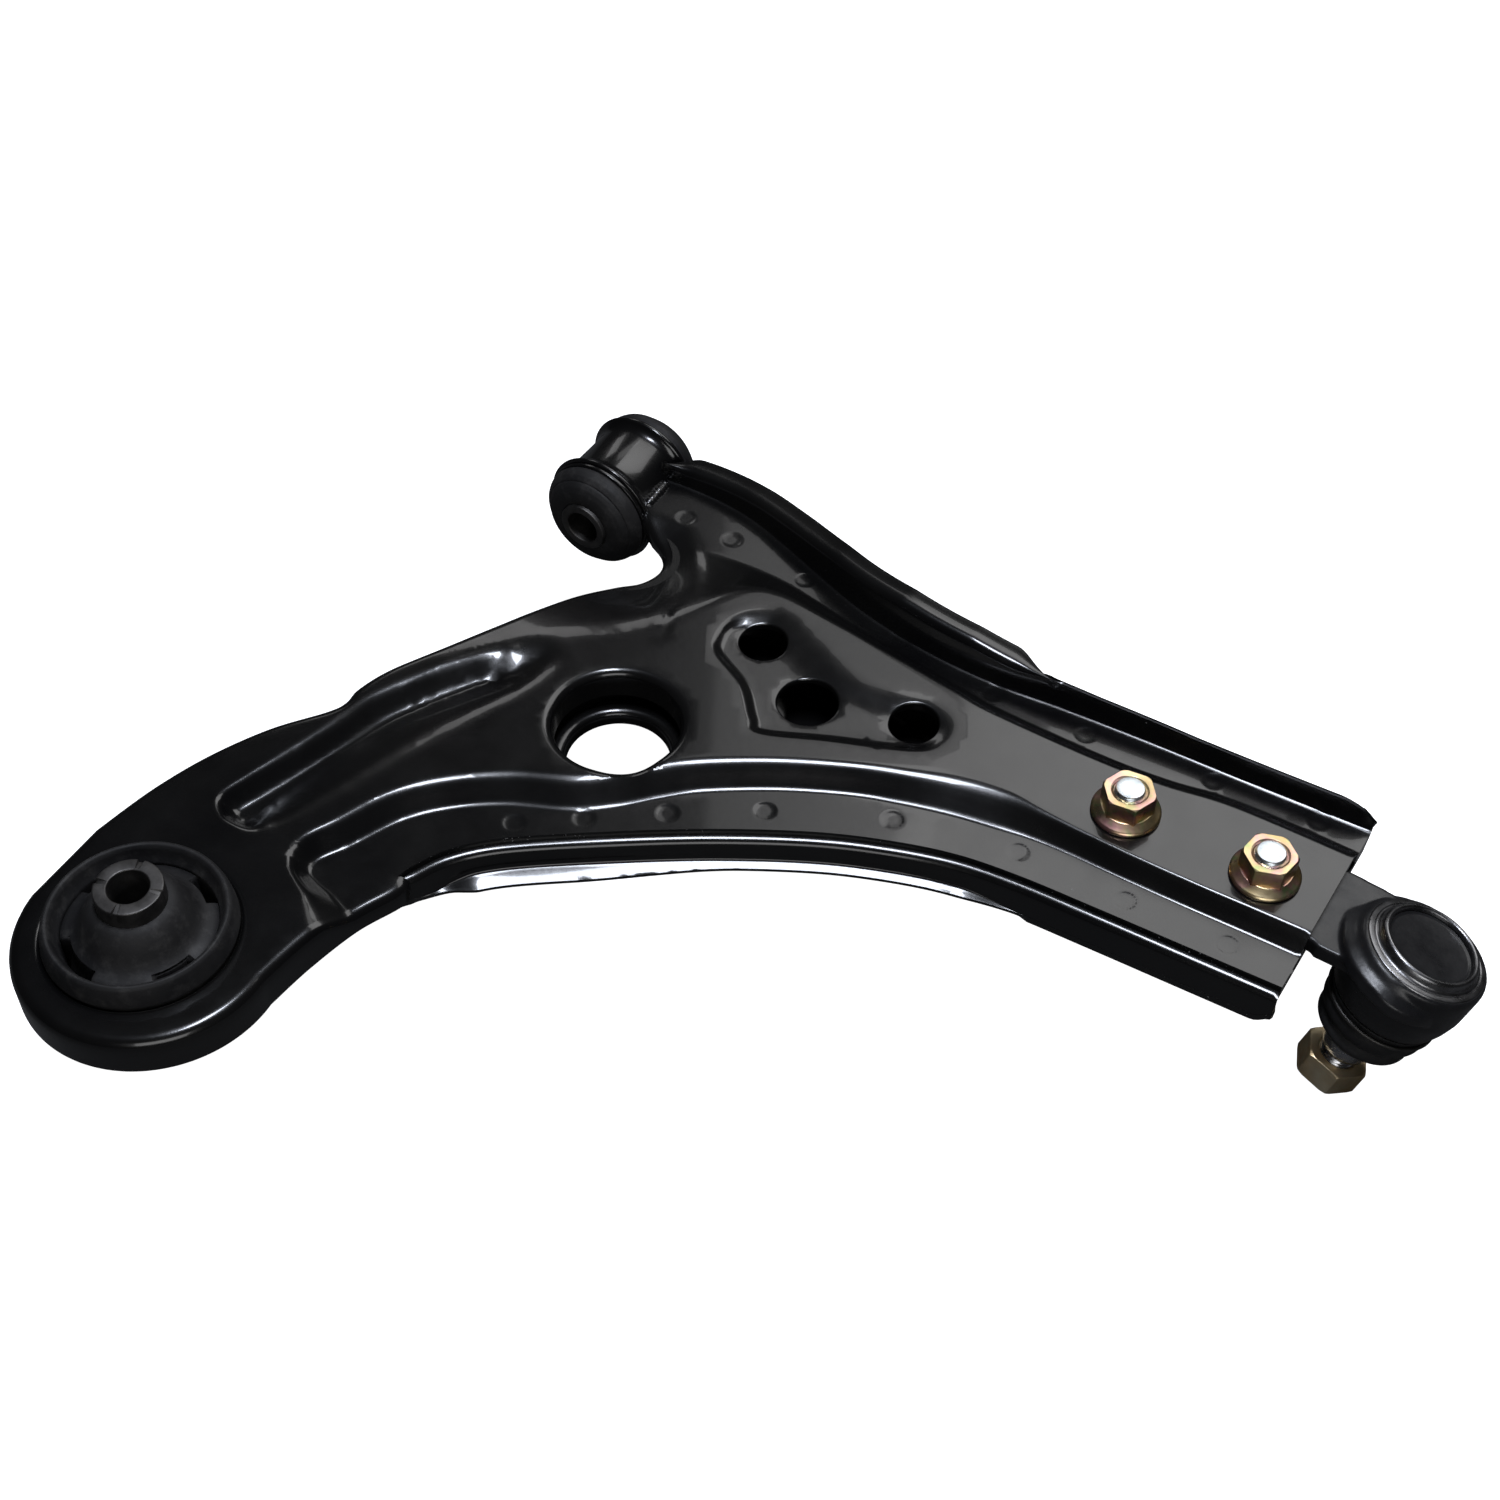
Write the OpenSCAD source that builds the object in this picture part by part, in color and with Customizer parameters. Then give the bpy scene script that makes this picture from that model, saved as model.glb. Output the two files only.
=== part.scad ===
// Front lower control arm: two pressed sheets welded into an open-ended box, a horizontal
// front bush, a vertical rear bush and a bolted-on ball joint.
// The origin is the centre of the front bush. Y runs along the front bush, towards the
// front of the car, X runs out to the ball joint and Z is up.

/* [Pressed sheets] */
// Thickness of both pressed sheets
sheet_t = 2.5; // [2:0.1:3]
// Height of the raised top face above the front bush axis
top_z = 14; // [13:0.5:15]
// Depth of the spot-welded ledges below the raised top
ledge_drop = 6; // [5:0.5:7]
// Height of the down-turned rim round the rear end
rim_h = 13; // [11:0.5:14]
// Height of the down-turned flange along the concave edge
flange_h = 10; // [8:0.5:12]
// Greatest height of the up-turned wall along the convex edge, above the ledge
wall_h = 15; // [12:0.5:17]
// Width of the lip on top of that wall
wall_lip = 9; // [6:0.5:10]
// X of the open outer end of the box
box_end = 288; // [286:1:290]

/* [Holes in the top sheet] */
// Radius of the large hole in the top sheet
big_hole_r = 20.5; // [19:0.5:22]
// Radius of the matching hole in the bottom sheet
low_hole_r = 17; // [15:0.5:18]
// Depth of the shallow pad that holds three small holes
pad_drop = 2; // [1:0.5:3]
// Radius of the two outer pad holes
pad_hole_r = 7.9; // [6:0.1:8.5]
// Radius of the middle pad hole
pad_mid_r = 9.9; // [8:0.1:10.5]

/* [Front bush] */
// Outer radius of the welded eye
eye_r = 18.2; // [17.5:0.1:19]
// Outer radius of the eye's flared ends
eye_lip_r = 21; // [20:0.5:22]
// Length of the eye
eye_len = 28; // [26:1:30]
// Length of the front inner sleeve
front_len = 51; // [50:1:54]
// Outer radius of the front inner sleeve
front_sleeve_r = 9; // [8.5:0.1:9.5]

/* [Rear bush] */
// Distance of the rear bush behind the front bush
rear_back = 248; // [246:1:250]
// Outer radius of the rear bush
rear_r = 28; // [27:0.5:28.5]
// Outer radius of the rear inner sleeve
rear_sleeve_r = 10.2; // [9.8:0.1:10.6]
// Height of the rear inner sleeve's top face
rear_top_z = 34; // [32:1:36]
// Length of the rear inner sleeve
rear_len = 58; // [54:1:60]
// Radius of both sleeve bores, for an M12 bolt
bolt_bore_r = 6.1; // [6:0.1:6.5]

/* [Ball joint] */
// X of the ball centre
ball_x = 316; // [314:1:318]
// Y of the ball centre and of both clamp bolts
ball_y = -52; // [-53:0.5:-51]
// Z of the ball centre
ball_z = -2; // [-3:0.5:-1]
// Lean of the stud's upper end outwards, in degrees
lean_out = 14; // [12:1:16]
// Lean of the stud's upper end forwards, in degrees
lean_fwd = 11.5; // [10:0.5:13]
// Radius of the ball
ball_r = 12; // [11.8:0.1:12.2]
// Radius of the stud's parallel shank
shank_r = 7.5; // [7:0.1:7.8]

/* [Fasteners] */
// X of the inner clamp bolt
bolt_x = 222; // [220:1:224]
// Distance between the two clamp bolts
bolt_pitch = 46; // [44:1:46]

/* [Hidden] */

$fn = 72;
black = [0.06, 0.06, 0.07];
rubber = [0.13, 0.13, 0.14];
steel = [0.5, 0.5, 0.49];
zinc = [0.78, 0.66, 0.36];

ledge_z = top_z - ledge_drop;       // top face of the ledges
web_z = ledge_z - sheet_t;          // where the two sheets meet
under_z = top_z - sheet_t;          // underside of the raised top
rim_z = top_z - rim_h;              // bottom edge of the rear rim
pan_z = -6;                         // inner floor of the bottom sheet's pan
rear_y = -rear_back;
fit = 0.05;                         // radial running clearance
weld_gap = 0.6;                     // room between the rim and the bottom sheet

// --- curves -------------------------------------------------------------------------
function cubic(a, b, c, d, t) =
    0.5 * (2 * b + (c - a) * t + (2 * a - 5 * b + 4 * c - d) * t * t
           + (3 * b - a - 3 * c + d) * t * t * t);
function at(p, i) = p[max(0, min(len(p) - 1, i))];
// An open smooth curve through the points p, with n steps between neighbours
function smooth(p, n = 4) =
    concat([for (i = [0:len(p) - 2]) for (k = [0:n - 1])
               cubic(at(p, i - 1), p[i], p[i + 1], at(p, i + 2), k / n)],
           [p[len(p) - 1]]);
function backwards(p) = [for (i = [len(p) - 1:-1:0]) p[i]];
function unit(v) = v / norm(v);
function left_of(v) = [-v[1], v[0]];
// A curve moved sideways by d, to the left of its own direction
function beside(p, d) =
    [for (i = [0:len(p) - 1]) p[i] + d * left_of(unit(at(p, i + 1) - at(p, i - 1)))];
// A closed outline, listed anticlockwise, moved inwards by d
function inset(p, d) =
    [for (i = [0:len(p) - 1])
        let (n = len(p), a = unit(p[i] - p[(i + n - 1) % n]), b = unit(p[(i + 1) % n] - p[i]))
        p[i] + d * left_of(a + b) / (1 + a * b)];
function arc(centre, r, a0, a1, n) =
    [for (k = [0:n]) let (a = a0 + (a1 - a0) * k / n) centre + r * [cos(a), sin(a)]];

// --- plan view ----------------------------------------------------------------------
// Convex front edge, where the ledge turns up into the wall, from the eye to the box end
front_edge = smooth([[14, 4.5], [34, 5.5], [52, 3.5], [70, -2], [88, -8.5], [106, -14.5],
                     [125, -18.5], [144, -20.5], [164, -20.5], [184, -18.5], [214, -16.5],
                     [250, -15], [box_end, -13]]);
// Concave rear edge of the top sheet, from the end of the rim to the box end
rear_edge = smooth([[48, -184], [53, -173], [64, -160.5], [88, -142], [116, -122.5],
                    [143, -106.5], [164, -97], [184, -90.5], [204, -87.5], [228, -86],
                    [258, -84.5], [box_end, -83]]);
// Foot of the raised top on the concave side, and on the convex side
plateau_rear = smooth([[17, -200], [22, -188], [30, -172], [42, -157.5], [58, -145.5],
                       [78, -135], [94, -118], [118, -99], [146, -84], [176, -72.5],
                       [204, -69], [240, -68.5], [box_end, -67.5]]);
plateau_front = smooth([[60, -38], [66, -27], [80, -21.5], [108, -25], [140, -31],
                        [172, -33.5], [204, -34], [232, -29.5], [260, -27],
                        [box_end, -26]]);
// The raised rear end sits round the rear bush
rear_end = arc([2, rear_y + 0.5], 40, 8, -168, 28);
// From the rear end, past the step in the outline, up to the notch beside the front bush
inner_edge = smooth([[-38.5, -226], [-35.5, -205], [-30, -185], [-21.5, -166],
                     [-11, -150.5], [-8.6, -144.5], [-9, -138], [-6, -126], [1.5, -110],
                     [9.5, -91], [15.5, -76], [22, -60], [29, -47]]);
notch = smooth([[34.5, -38.5], [36, -32], [33, -26], [26, -20.5], [18.5, -15], [14, -12]]);
rear_flank = smooth([[42.8, -226], [46, -208], [51.5, -194]]);
sheet_outline = concat(backwards(front_edge), backwards(notch),
                       backwards(inner_edge), backwards(rear_end), rear_flank, rear_edge);

// Raised part of the top sheet: rear end, the strip beside the groove and the plateau
groove = smooth([[15, -104], [5, -122], [-3, -142], [-9.5, -166], [-14, -186], [-14.5, -196]]);
groove_back = smooth([[0, -198], [4, -184], [10, -164], [17, -144], [25, -124],
                      [33, -106], [42, -88], [51, -68], [56, -50]]);
raised_strip = smooth([[-38.5, -226], [-35.5, -205], [-30, -185], [-21.5, -166],
                       [-11, -150.5], [-8.6, -144.5], [-9, -138], [-6, -126],
                       [1.5, -110], [8, -95]]);
raised = concat(backwards(plateau_front), backwards(groove_back), [[-6, -202.5]],
                backwards(groove), backwards(raised_strip), backwards(rear_end),
                [[42.8, -226], [41.5, -211], [26, -206]], plateau_rear);
// The hollow under it stops where the strip beside the groove gets narrow, and runs out of
// the box end
hollow_end = box_end + 2 * sheet_t;
hollow = concat([[hollow_end, -26]], backwards(plateau_front), backwards(groove_back),
                [[-6, -202.5]], backwards([for (p = groove) if (p[1] < -168) p]),
                backwards([for (p = raised_strip) if (p[1] < -165) p]), backwards(rear_end),
                [[42.8, -226], [41.5, -211], [26, -206]], plateau_rear, [[hollow_end, -67.5]]);

// Sunk pan of the bottom sheet
pan = smooth([[18, -186], [30, -166], [56, -152], [86, -134], [104, -114], [128, -98],
              [154, -86], [182, -76], [197, -66], [199, -52], [194, -41], [176, -38],
              [140, -36], [104, -30], [80, -27.5], [66, -34], [60, -50], [54, -70],
              [44, -92], [34, -112], [24, -134], [15, -158], [9, -176], [18, -186]], 3);
pan_outline = [for (i = [0:len(pan) - 2]) pan[i]];

// Shallow pad with the three holes
pad_curve = smooth([[76, -57], [80, -63], [94, -70.5], [104, -81], [110, -85], [130, -76],
                    [154, -65.5], [160.5, -58], [159, -48.5], [150, -44], [136, -47.5],
                    [121, -48], [103, -41], [88, -35.5], [80, -40], [75.5, -48], [76, -57]], 3);
pad_outline = [for (i = [0:len(pad_curve) - 2]) pad_curve[i]];
pad_centres = [[89.5, -49], [149, -54]];
pad_mid = [115.5, -64];
big_hole = [69.5, -105];

module slab(outline, z0, z1)
    translate([0, 0, z0]) linear_extrude(z1 - z0) polygon(outline);

// Everything behind a slanting line, where the top sheet has its down-turned rim
module rim_zone()
    translate([0, 0, -60]) linear_extrude(120)
        polygon([[-80, -320], [90, -320], [60, -200], [44, -189.5], [56, -60], [42, -10],
                 [-80, -10]]);

// --- pressed sheets -----------------------------------------------------------------
module upper_stamping() color(black) {
    difference() {
        union() {
            difference() {
                union() {
                    slab(sheet_outline, web_z, ledge_z);
                    slab(raised, web_z, top_z);
                    intersection() {
                        slab(sheet_outline, rim_z, web_z);
                        rim_zone();
                    }
                }
                slab(inset(hollow, sheet_t), rim_z - 1, under_z);
                intersection() {
                    slab(inset(sheet_outline, sheet_t), rim_z - 1, web_z);
                    rim_zone();
                }
            }
            // collar of the large hole, collar of the rear bush, pad
            translate([big_hole[0], big_hole[1], ledge_z - 4])
                cylinder(r = big_hole_r + sheet_t, h = under_z - ledge_z + 5);
            translate([0, rear_y, -6]) cylinder(r = rear_r + sheet_t, h = top_z + 6);
            slab(pad_outline, under_z - pad_drop, under_z + 1);
            up_turned_edge();
        }
        slab(inset(pad_outline, sheet_t / 2), top_z - pad_drop, top_z + 1);
        translate([big_hole[0], big_hole[1], -1]) cylinder(r = big_hole_r, h = 20);
        translate([0, rear_y, -7]) cylinder(r = rear_r, h = 30);
        for (c = pad_centres) translate([c[0], c[1], 0]) cylinder(r = pad_hole_r, h = 20);
        translate([pad_mid[0], pad_mid[1], 0]) cylinder(r = pad_mid_r, h = 20);
        for (k = [0, 1]) translate([bolt_x + k * bolt_pitch, ball_y, 0])
            cylinder(r = 5.5, h = 20);
        eye_space();
    }
}

// Short up-turned edge of the top sheet, inside the tall wall
module up_turned_edge()
    slab(concat(front_edge, backwards(beside(front_edge, -1.5))), ledge_z - 1, ledge_z + 2.5);

// Room for the eye and its flared ends
module eye_space() {
    lip_start = eye_len / 2 - 5;
    rotate([90, 0, 0]) cylinder(r = eye_r, h = 60, center = true);
    for (s = [-1, 1]) translate([0, s * (lip_start + 10), 0]) rotate([90, 0, 0])
        cylinder(r = eye_lip_r + 0.3, h = 20, center = true);
}

// Side view of the wall: low at the box end, tall at the waist of the arm
module wall_profile()
    translate([0, 60, 0]) rotate([90, 0, 0]) linear_extrude(120)
        polygon(concat([[box_end, web_z - 3], [8, web_z - 3]],
                       smooth([[22, ledge_z + 7], [50, ledge_z + 9],
                               [90, ledge_z + wall_h - 2], [122, ledge_z + wall_h],
                               [150, ledge_z + wall_h - 1], [172, ledge_z + wall_h - 4],
                               [196, ledge_z + 9.5], [230, ledge_z + 8.5],
                               [282, ledge_z + 8.5], [box_end, ledge_z + 3]])));

module lower_stamping() color(black) {
    wall_in = beside(front_edge, 0.2);
    wall_out = beside(front_edge, sheet_t);
    bend = [for (p = beside(rear_edge, -3)) if (p[1] > -180.5) p];
    lip_part = [for (p = bend) if (p[0] < 190) p];
    difference() {
        union() {
            // flat web between both edges
            difference() {
                slab(concat(backwards(wall_out), [[14, 2]], backwards(beside(notch, -3)),
                            [[34, -52], [20, -82], [8, -112], [-4, -146], [-18, -180],
                             [-26, -206]], arc([0, rear_y], 35, 110, 40, 8),
                            [[39, -213], [42.5, -199], [44.5, -188]], bend),
                     web_z - sheet_t, web_z);
                slab(inset(pan_outline, sheet_t), web_z - sheet_t - 1, web_z + 1);
            }
            // pan
            difference() {
                slab(pan_outline, pan_z - sheet_t, web_z);
                slab(inset(pan_outline, sheet_t), pan_z, web_z + 1);
            }
            // down-turned flange along the concave edge, and its lip
            slab(concat(bend, backwards(beside(bend, sheet_t))), web_z - flange_h, web_z);
            slab(concat(lip_part, backwards(beside(lip_part, -4.5))),
                 web_z - flange_h, web_z - flange_h + sheet_t);
            // up-turned wall along the convex edge, and its lip
            intersection() {
                slab(concat(wall_in, backwards(wall_out)), web_z - sheet_t, ledge_z + wall_h);
                wall_profile();
            }
            wall_top_lip();
            translate([big_hole[0], big_hole[1], pan_z - sheet_t])
                cylinder(r = low_hole_r + sheet_t, h = 7);
        }
        translate([big_hole[0], big_hole[1], -20]) cylinder(r = low_hole_r, h = 40);
        translate([0, rear_y, -20]) cylinder(r = rear_r + sheet_t + weld_gap, h = 50);
        for (k = [0, 1]) translate([bolt_x + k * bolt_pitch, ball_y, -10])
            cylinder(r = 5.5, h = 20);
        for (d = [[150, -62], [36, -140]]) translate([d[0], d[1], -12])
            cylinder(r = 7, h = 20);
        eye_space();
    }
}

// Lip that turns outwards on top of the wall, over the waist of the arm
module wall_top_lip() {
    along = [for (p = front_edge) if (p[0] > 24 && p[0] < 172) p];
    intersection() {
        difference() {
            slab(concat(beside(along, 0.2), backwards(beside(along, wall_lip))), 0, 40);
            translate([0, 0, -sheet_t]) wall_profile();
        }
        wall_profile();
    }
}

// --- front bush ---------------------------------------------------------------------
// Turns a profile drawn in radius and height so that its height runs along +Y
module along_y() rotate([-90, 0, 0]) rotate_extrude() children();

module front_eye() color(black) {
    half = eye_len / 2;
    bore = eye_r - sheet_t;
    along_y() polygon(concat([[bore, -half], [eye_lip_r, -half], [eye_lip_r, 2 - half]],
                             arc([eye_lip_r, 4.8 - half], 2.8, 270, 180, 6),
                             arc([eye_lip_r, half - 4.8], 2.8, 180, 90, 6),
                             [[eye_lip_r, half], [bore, half]]));
}

module front_bush_outer_sleeve() color(steel) {
    half = eye_len / 2;
    r = eye_r - sheet_t;
    along_y() polygon([[r - 1.5, -half - 1.5], [eye_lip_r - 1, -half - 1.5],
                       [eye_lip_r - 1, -half], [r, -half], [r, half], [r - 1.5, half]]);
}

module front_bush_rubber() color(rubber) {
    half = eye_len / 2;
    r = eye_r - sheet_t - 1.5;
    tip = front_len / 2 - 1.3;
    dome = arc([r, tip - 7.5], 6, 0, 75, 8);
    along_y() polygon(concat([[front_sleeve_r + fit, -tip], [r - 1, -tip]],
                             [for (p = backwards(dome)) [p[0], -p[1]]],
                             [[r + 5.5, -half - 1.5], [r, -half - 1.5], [r, half],
                              [r + 5.5, half]],
                             dome, [[r - 1, tip], [front_sleeve_r + fit, tip]]));
}

module front_bush_inner_sleeve() color(steel)
    along_y() difference() {
        translate([0, -front_len / 2]) square([front_sleeve_r, front_len]);
        translate([-1, -front_len]) square([bolt_bore_r + 1, 2 * front_len]);
    }

// --- rear bush ----------------------------------------------------------------------
module rear_bush_outer_sleeve() color(steel) translate([0, rear_y, -10])
    difference() {
        cylinder(r = rear_r, h = top_z + 10);
        translate([0, 0, -1]) cylinder(r = rear_r - 1.5, h = top_z + 12);
    }

module rear_bush_rubber() color(rubber) translate([0, rear_y, 0]) {
    r = rear_r - 1.5;
    cone_z = rear_top_z - 6;
    difference() {
        rotate_extrude() polygon(concat(
            [[rear_sleeve_r + fit, cone_z], [rear_sleeve_r + fit, -14], [14, -14],
             [20, -8], [r, -8], [r, top_z], [rear_r + 0.7, top_z]],
            arc([rear_r - 2.2, top_z + 6.5], 1.5, 20, 110, 4),
            [[r - 2.4, top_z + 8], [22.5, top_z + 4], [20, top_z + 2.5],
             [18, top_z + 4.5], [15, cone_z - 5], [13, cone_z - 1]]));
        // kidney-shaped voids
        for (a = [70, 160, 250, 340]) rotate([0, 0, a - 22]) translate([0, 0, -3])
            rotate_extrude(angle = 44) translate([19.5, 0]) square([3.6, 40]);
    }
}

module rear_bush_inner_sleeve() color(steel) translate([0, rear_y, rear_top_z - rear_len])
    difference() {
        cylinder(r = rear_sleeve_r, h = rear_len);
        translate([0, 0, -1]) cylinder(r = bolt_bore_r, h = rear_len + 2);
        for (a = [20, 110, 200, 290]) rotate([0, 0, a])
            translate([rear_sleeve_r - 0.9, -1.5, rear_len - 1.2]) cube([3, 3, 3]);
    }

// --- ball joint ---------------------------------------------------------------------
// Places a piece on the ball's centre with the stud's own axis as Z
module on_stud()
    translate([ball_x, ball_y, ball_z]) rotate([-lean_fwd, lean_out, 0]) children();

ball_bore_r = 15.5;
seat_low = -6.5;                    // lowest contact of the lower seat
cap_z = ball_r + 0.6;               // underside of the cap
housing_top = 16.5;
housing_low = -13;
boot_top_r = 17;

module ball_joint_housing() color(black) {
    difference() {
        union() {
            on_stud() rotate_extrude() polygon(concat(
                [[0, housing_low], [boot_top_r - 1.5, housing_low],
                 [boot_top_r - 1.5, housing_low + 3], [boot_top_r + 1, housing_low + 3.5],
                 [19, -6], [20.8, -1]],
                arc([19.3, 10], 1.6, 0, 70, 4),
                [[18.8, 13.2], [17.4, 14.2], [17, housing_top - 0.8],
                 [16.4, housing_top], [0, housing_top]]));
            // flat tail that is clamped inside the box
            slab(concat(arc([210, ball_y], 12.5, 90, 270, 12),
                        smooth([[260, -64.5], [286, -64.7], [292, -66.2], [302, -66.6],
                                [ball_x, ball_y - 19]]),
                        smooth([[ball_x, ball_y + 19], [302, -35.5], [292, -34.5],
                                [262, -33], [234, -34.5]])),
                 web_z, under_z);
        }
        on_stud() {
            translate([0, 0, -9]) cylinder(r = ball_bore_r, h = 60);
            translate([0, 0, -30]) cylinder(r = 13.8, h = 30);
        }
        on_stud() translate([0, 0, housing_top]) cylinder(r = 40, h = 30);
        for (k = [0, 1]) translate([bolt_x + k * bolt_pitch, ball_y, 0])
            cylinder(r = 5.3, h = 20);
    }
    // edge that is rolled over the cap
    on_stud() rotate_extrude()
        polygon([[13.4, cap_z + 2], [ball_bore_r, cap_z + 2], [ball_bore_r, housing_top],
                 [14.4, housing_top], [13.4, housing_top - 1]]);
}

module seat_shell(z0, z1) on_stud()
    difference() {
        translate([0, 0, z0]) cylinder(r = ball_bore_r, h = z1 - z0);
        sphere(r = ball_r + fit);
        children();
    }

module ball_seat_lower() color("ivory")
    seat_shell(-9, 0) {
        translate([0, 0, seat_low]) cylinder(r = sqrt(ball_r * ball_r - 42.25), h = 1, $fn = 72);
        translate([0, 0, -9.5]) cylinder(r1 = 13, r2 = 10.1, h = 3.1);
    }

module ball_seat_upper() color("ivory")
    seat_shell(0.1, cap_z)
        translate([0, 0, 8]) cylinder(r = 7, h = 10);

module ball_joint_cap() color(black)
    on_stud() translate([0, 0, cap_z]) cylinder(r = ball_bore_r, h = 2);

module ball_stud() color(steel)
    on_stud() {
        sphere(r = ball_r);
        translate([0, 0, -50]) rotate_extrude()
            polygon([[0, 0], [5.2, 0], [6, 0.8], [6, 12], [shank_r - 1, 12],
                     [shank_r, 14], [shank_r, 30], [5.75, 37], [5.75, 42], [0, 42]]);
    }

module dust_boot() color(rubber)
    on_stud() rotate_extrude()
        polygon(concat([[boot_top_r - 1.5 + fit, -10.3], [boot_top_r - 1.5 + fit, -13.5],
                        [14.6, -15], [14.6, -19], [12, -21.5], [12, -24],
                        [shank_r + fit, -26], [shank_r + fit, -30], [9.2, -30],
                        [9.2, -27.3], [10.2, -26.2], [13.8, -25.5]],
                       arc([13, -23], 2.5, -60, 60, 5), [[13.6, -20.6]],
                       arc([15, -17], 2.8, -60, 70, 6), [[boot_top_r - 0.4, -13.8],
                       [boot_top_r - 0.4, -11.6], [boot_top_r + 0.4, -11], [boot_top_r + 0.4, -10.3]]));

module wire_ring(r, z, w) on_stud() translate([0, 0, z])
    rotate_extrude() translate([r + w / 2, 0]) circle(d = w, $fn = 24);

module boot_ring_large() color("dimgray") wire_ring(boot_top_r - 0.35, -12.7, 1.4);
module boot_ring_small() color("dimgray") wire_ring(9.2 + fit, -28.7, 1.2);

module stud_nut() color(zinc)
    on_stud() translate([0, 0, -48]) difference() {
        intersection() {
            cylinder(r = 19 / sqrt(3), h = 9, $fn = 6);
            rotate_extrude() polygon([[0, 0], [9.4, 0], [11.2, 1.1], [11.2, 7.9], [9.4, 9],
                                      [0, 9]]);
        }
        translate([0, 0, -1]) cylinder(r = 6, h = 12);
    }

// --- clamp bolts and nuts -----------------------------------------------------------
bolt_tip_z = top_z + 11.5;
module flange_bolt(x) translate([x, ball_y, 0]) {
    under_head = web_z - sheet_t;
    translate([0, 0, under_head]) cylinder(r = 5, h = bolt_tip_z - under_head - 0.8);
    translate([0, 0, bolt_tip_z - 0.8]) cylinder(r1 = 5, r2 = 4.2, h = 0.8);
    translate([0, 0, under_head - 2]) cylinder(r = 10.9, h = 2);
    translate([0, 0, under_head - 8.5]) cylinder(r = 15 / sqrt(3), h = 6.6, $fn = 6);
}

module flange_nut(x) translate([x, ball_y, top_z]) difference() {
    union() {
        rotate_extrude() polygon([[0, 0], [10.9, 0], [10.9, 1], [7.6, 2.8], [0, 2.8]]);
        intersection() {
            cylinder(r = 15 / sqrt(3), h = 10, $fn = 6);
            rotate_extrude() polygon([[0, 0], [9, 0], [9, 9], [7.4, 10], [0, 10]]);
        }
    }
    translate([0, 0, -1]) cylinder(r = 5, h = 12);
}

module clamp_bolt_inner() color("silver") flange_bolt(bolt_x);
module clamp_bolt_outer() color("silver") flange_bolt(bolt_x + bolt_pitch);
module flange_nut_inner() color(zinc) flange_nut(bolt_x);
module flange_nut_outer() color(zinc) flange_nut(bolt_x + bolt_pitch);

upper_stamping();
lower_stamping();
front_eye();
front_bush_outer_sleeve();
front_bush_rubber();
front_bush_inner_sleeve();
rear_bush_outer_sleeve();
rear_bush_rubber();
rear_bush_inner_sleeve();
ball_joint_housing();
ball_seat_lower();
ball_seat_upper();
ball_joint_cap();
ball_stud();
dust_boot();
boot_ring_large();
boot_ring_small();
stud_nut();
clamp_bolt_inner();
clamp_bolt_outer();
flange_nut_inner();
flange_nut_outer();
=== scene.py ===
"""Looks of a front lower control arm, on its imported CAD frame."""

import math

import bpy
import numpy as np
from mathutils import Matrix, Vector, geometry


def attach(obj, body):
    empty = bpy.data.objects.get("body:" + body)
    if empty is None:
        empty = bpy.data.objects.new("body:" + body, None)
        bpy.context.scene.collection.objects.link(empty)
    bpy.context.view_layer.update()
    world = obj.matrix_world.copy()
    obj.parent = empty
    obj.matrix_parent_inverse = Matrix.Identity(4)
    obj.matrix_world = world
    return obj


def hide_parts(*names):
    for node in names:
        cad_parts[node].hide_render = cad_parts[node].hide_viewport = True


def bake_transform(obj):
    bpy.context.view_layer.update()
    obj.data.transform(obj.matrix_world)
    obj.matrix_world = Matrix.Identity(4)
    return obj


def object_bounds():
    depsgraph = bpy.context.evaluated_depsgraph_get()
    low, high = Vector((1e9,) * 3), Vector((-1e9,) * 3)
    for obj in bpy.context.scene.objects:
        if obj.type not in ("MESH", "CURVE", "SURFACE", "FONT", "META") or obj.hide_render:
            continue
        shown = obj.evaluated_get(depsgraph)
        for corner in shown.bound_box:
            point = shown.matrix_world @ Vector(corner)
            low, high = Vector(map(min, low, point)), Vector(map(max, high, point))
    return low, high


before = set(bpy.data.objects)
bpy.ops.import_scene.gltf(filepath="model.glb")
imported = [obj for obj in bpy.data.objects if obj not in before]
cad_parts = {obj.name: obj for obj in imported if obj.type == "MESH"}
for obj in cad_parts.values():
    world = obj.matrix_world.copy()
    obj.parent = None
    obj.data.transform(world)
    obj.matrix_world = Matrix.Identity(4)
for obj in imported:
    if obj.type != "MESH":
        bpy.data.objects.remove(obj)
cad_low, cad_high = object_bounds()

MM = 0.001

# Heights in millimetres, as in the CAD source
TOP_Z = 14.0
LEDGE_Z = 8.0
WEB_Z = 5.5
RIM_Z = 1.0
PAN_Z = -6.0
SHEET_T = 2.5
EDGE_ROUND = 0.3
BOX_END = 288.0
REAR = np.array([0.0, -248.0])
BIG_HOLE = np.array([69.5, -105.0])
BALL = Vector((316.0, -52.0, -2.0))
STUD_FRAME = (
    Matrix.Translation(BALL * MM)
    @ Matrix.Rotation(math.radians(14.0), 4, "Y")
    @ Matrix.Rotation(math.radians(-11.5), 4, "X")
)


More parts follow.
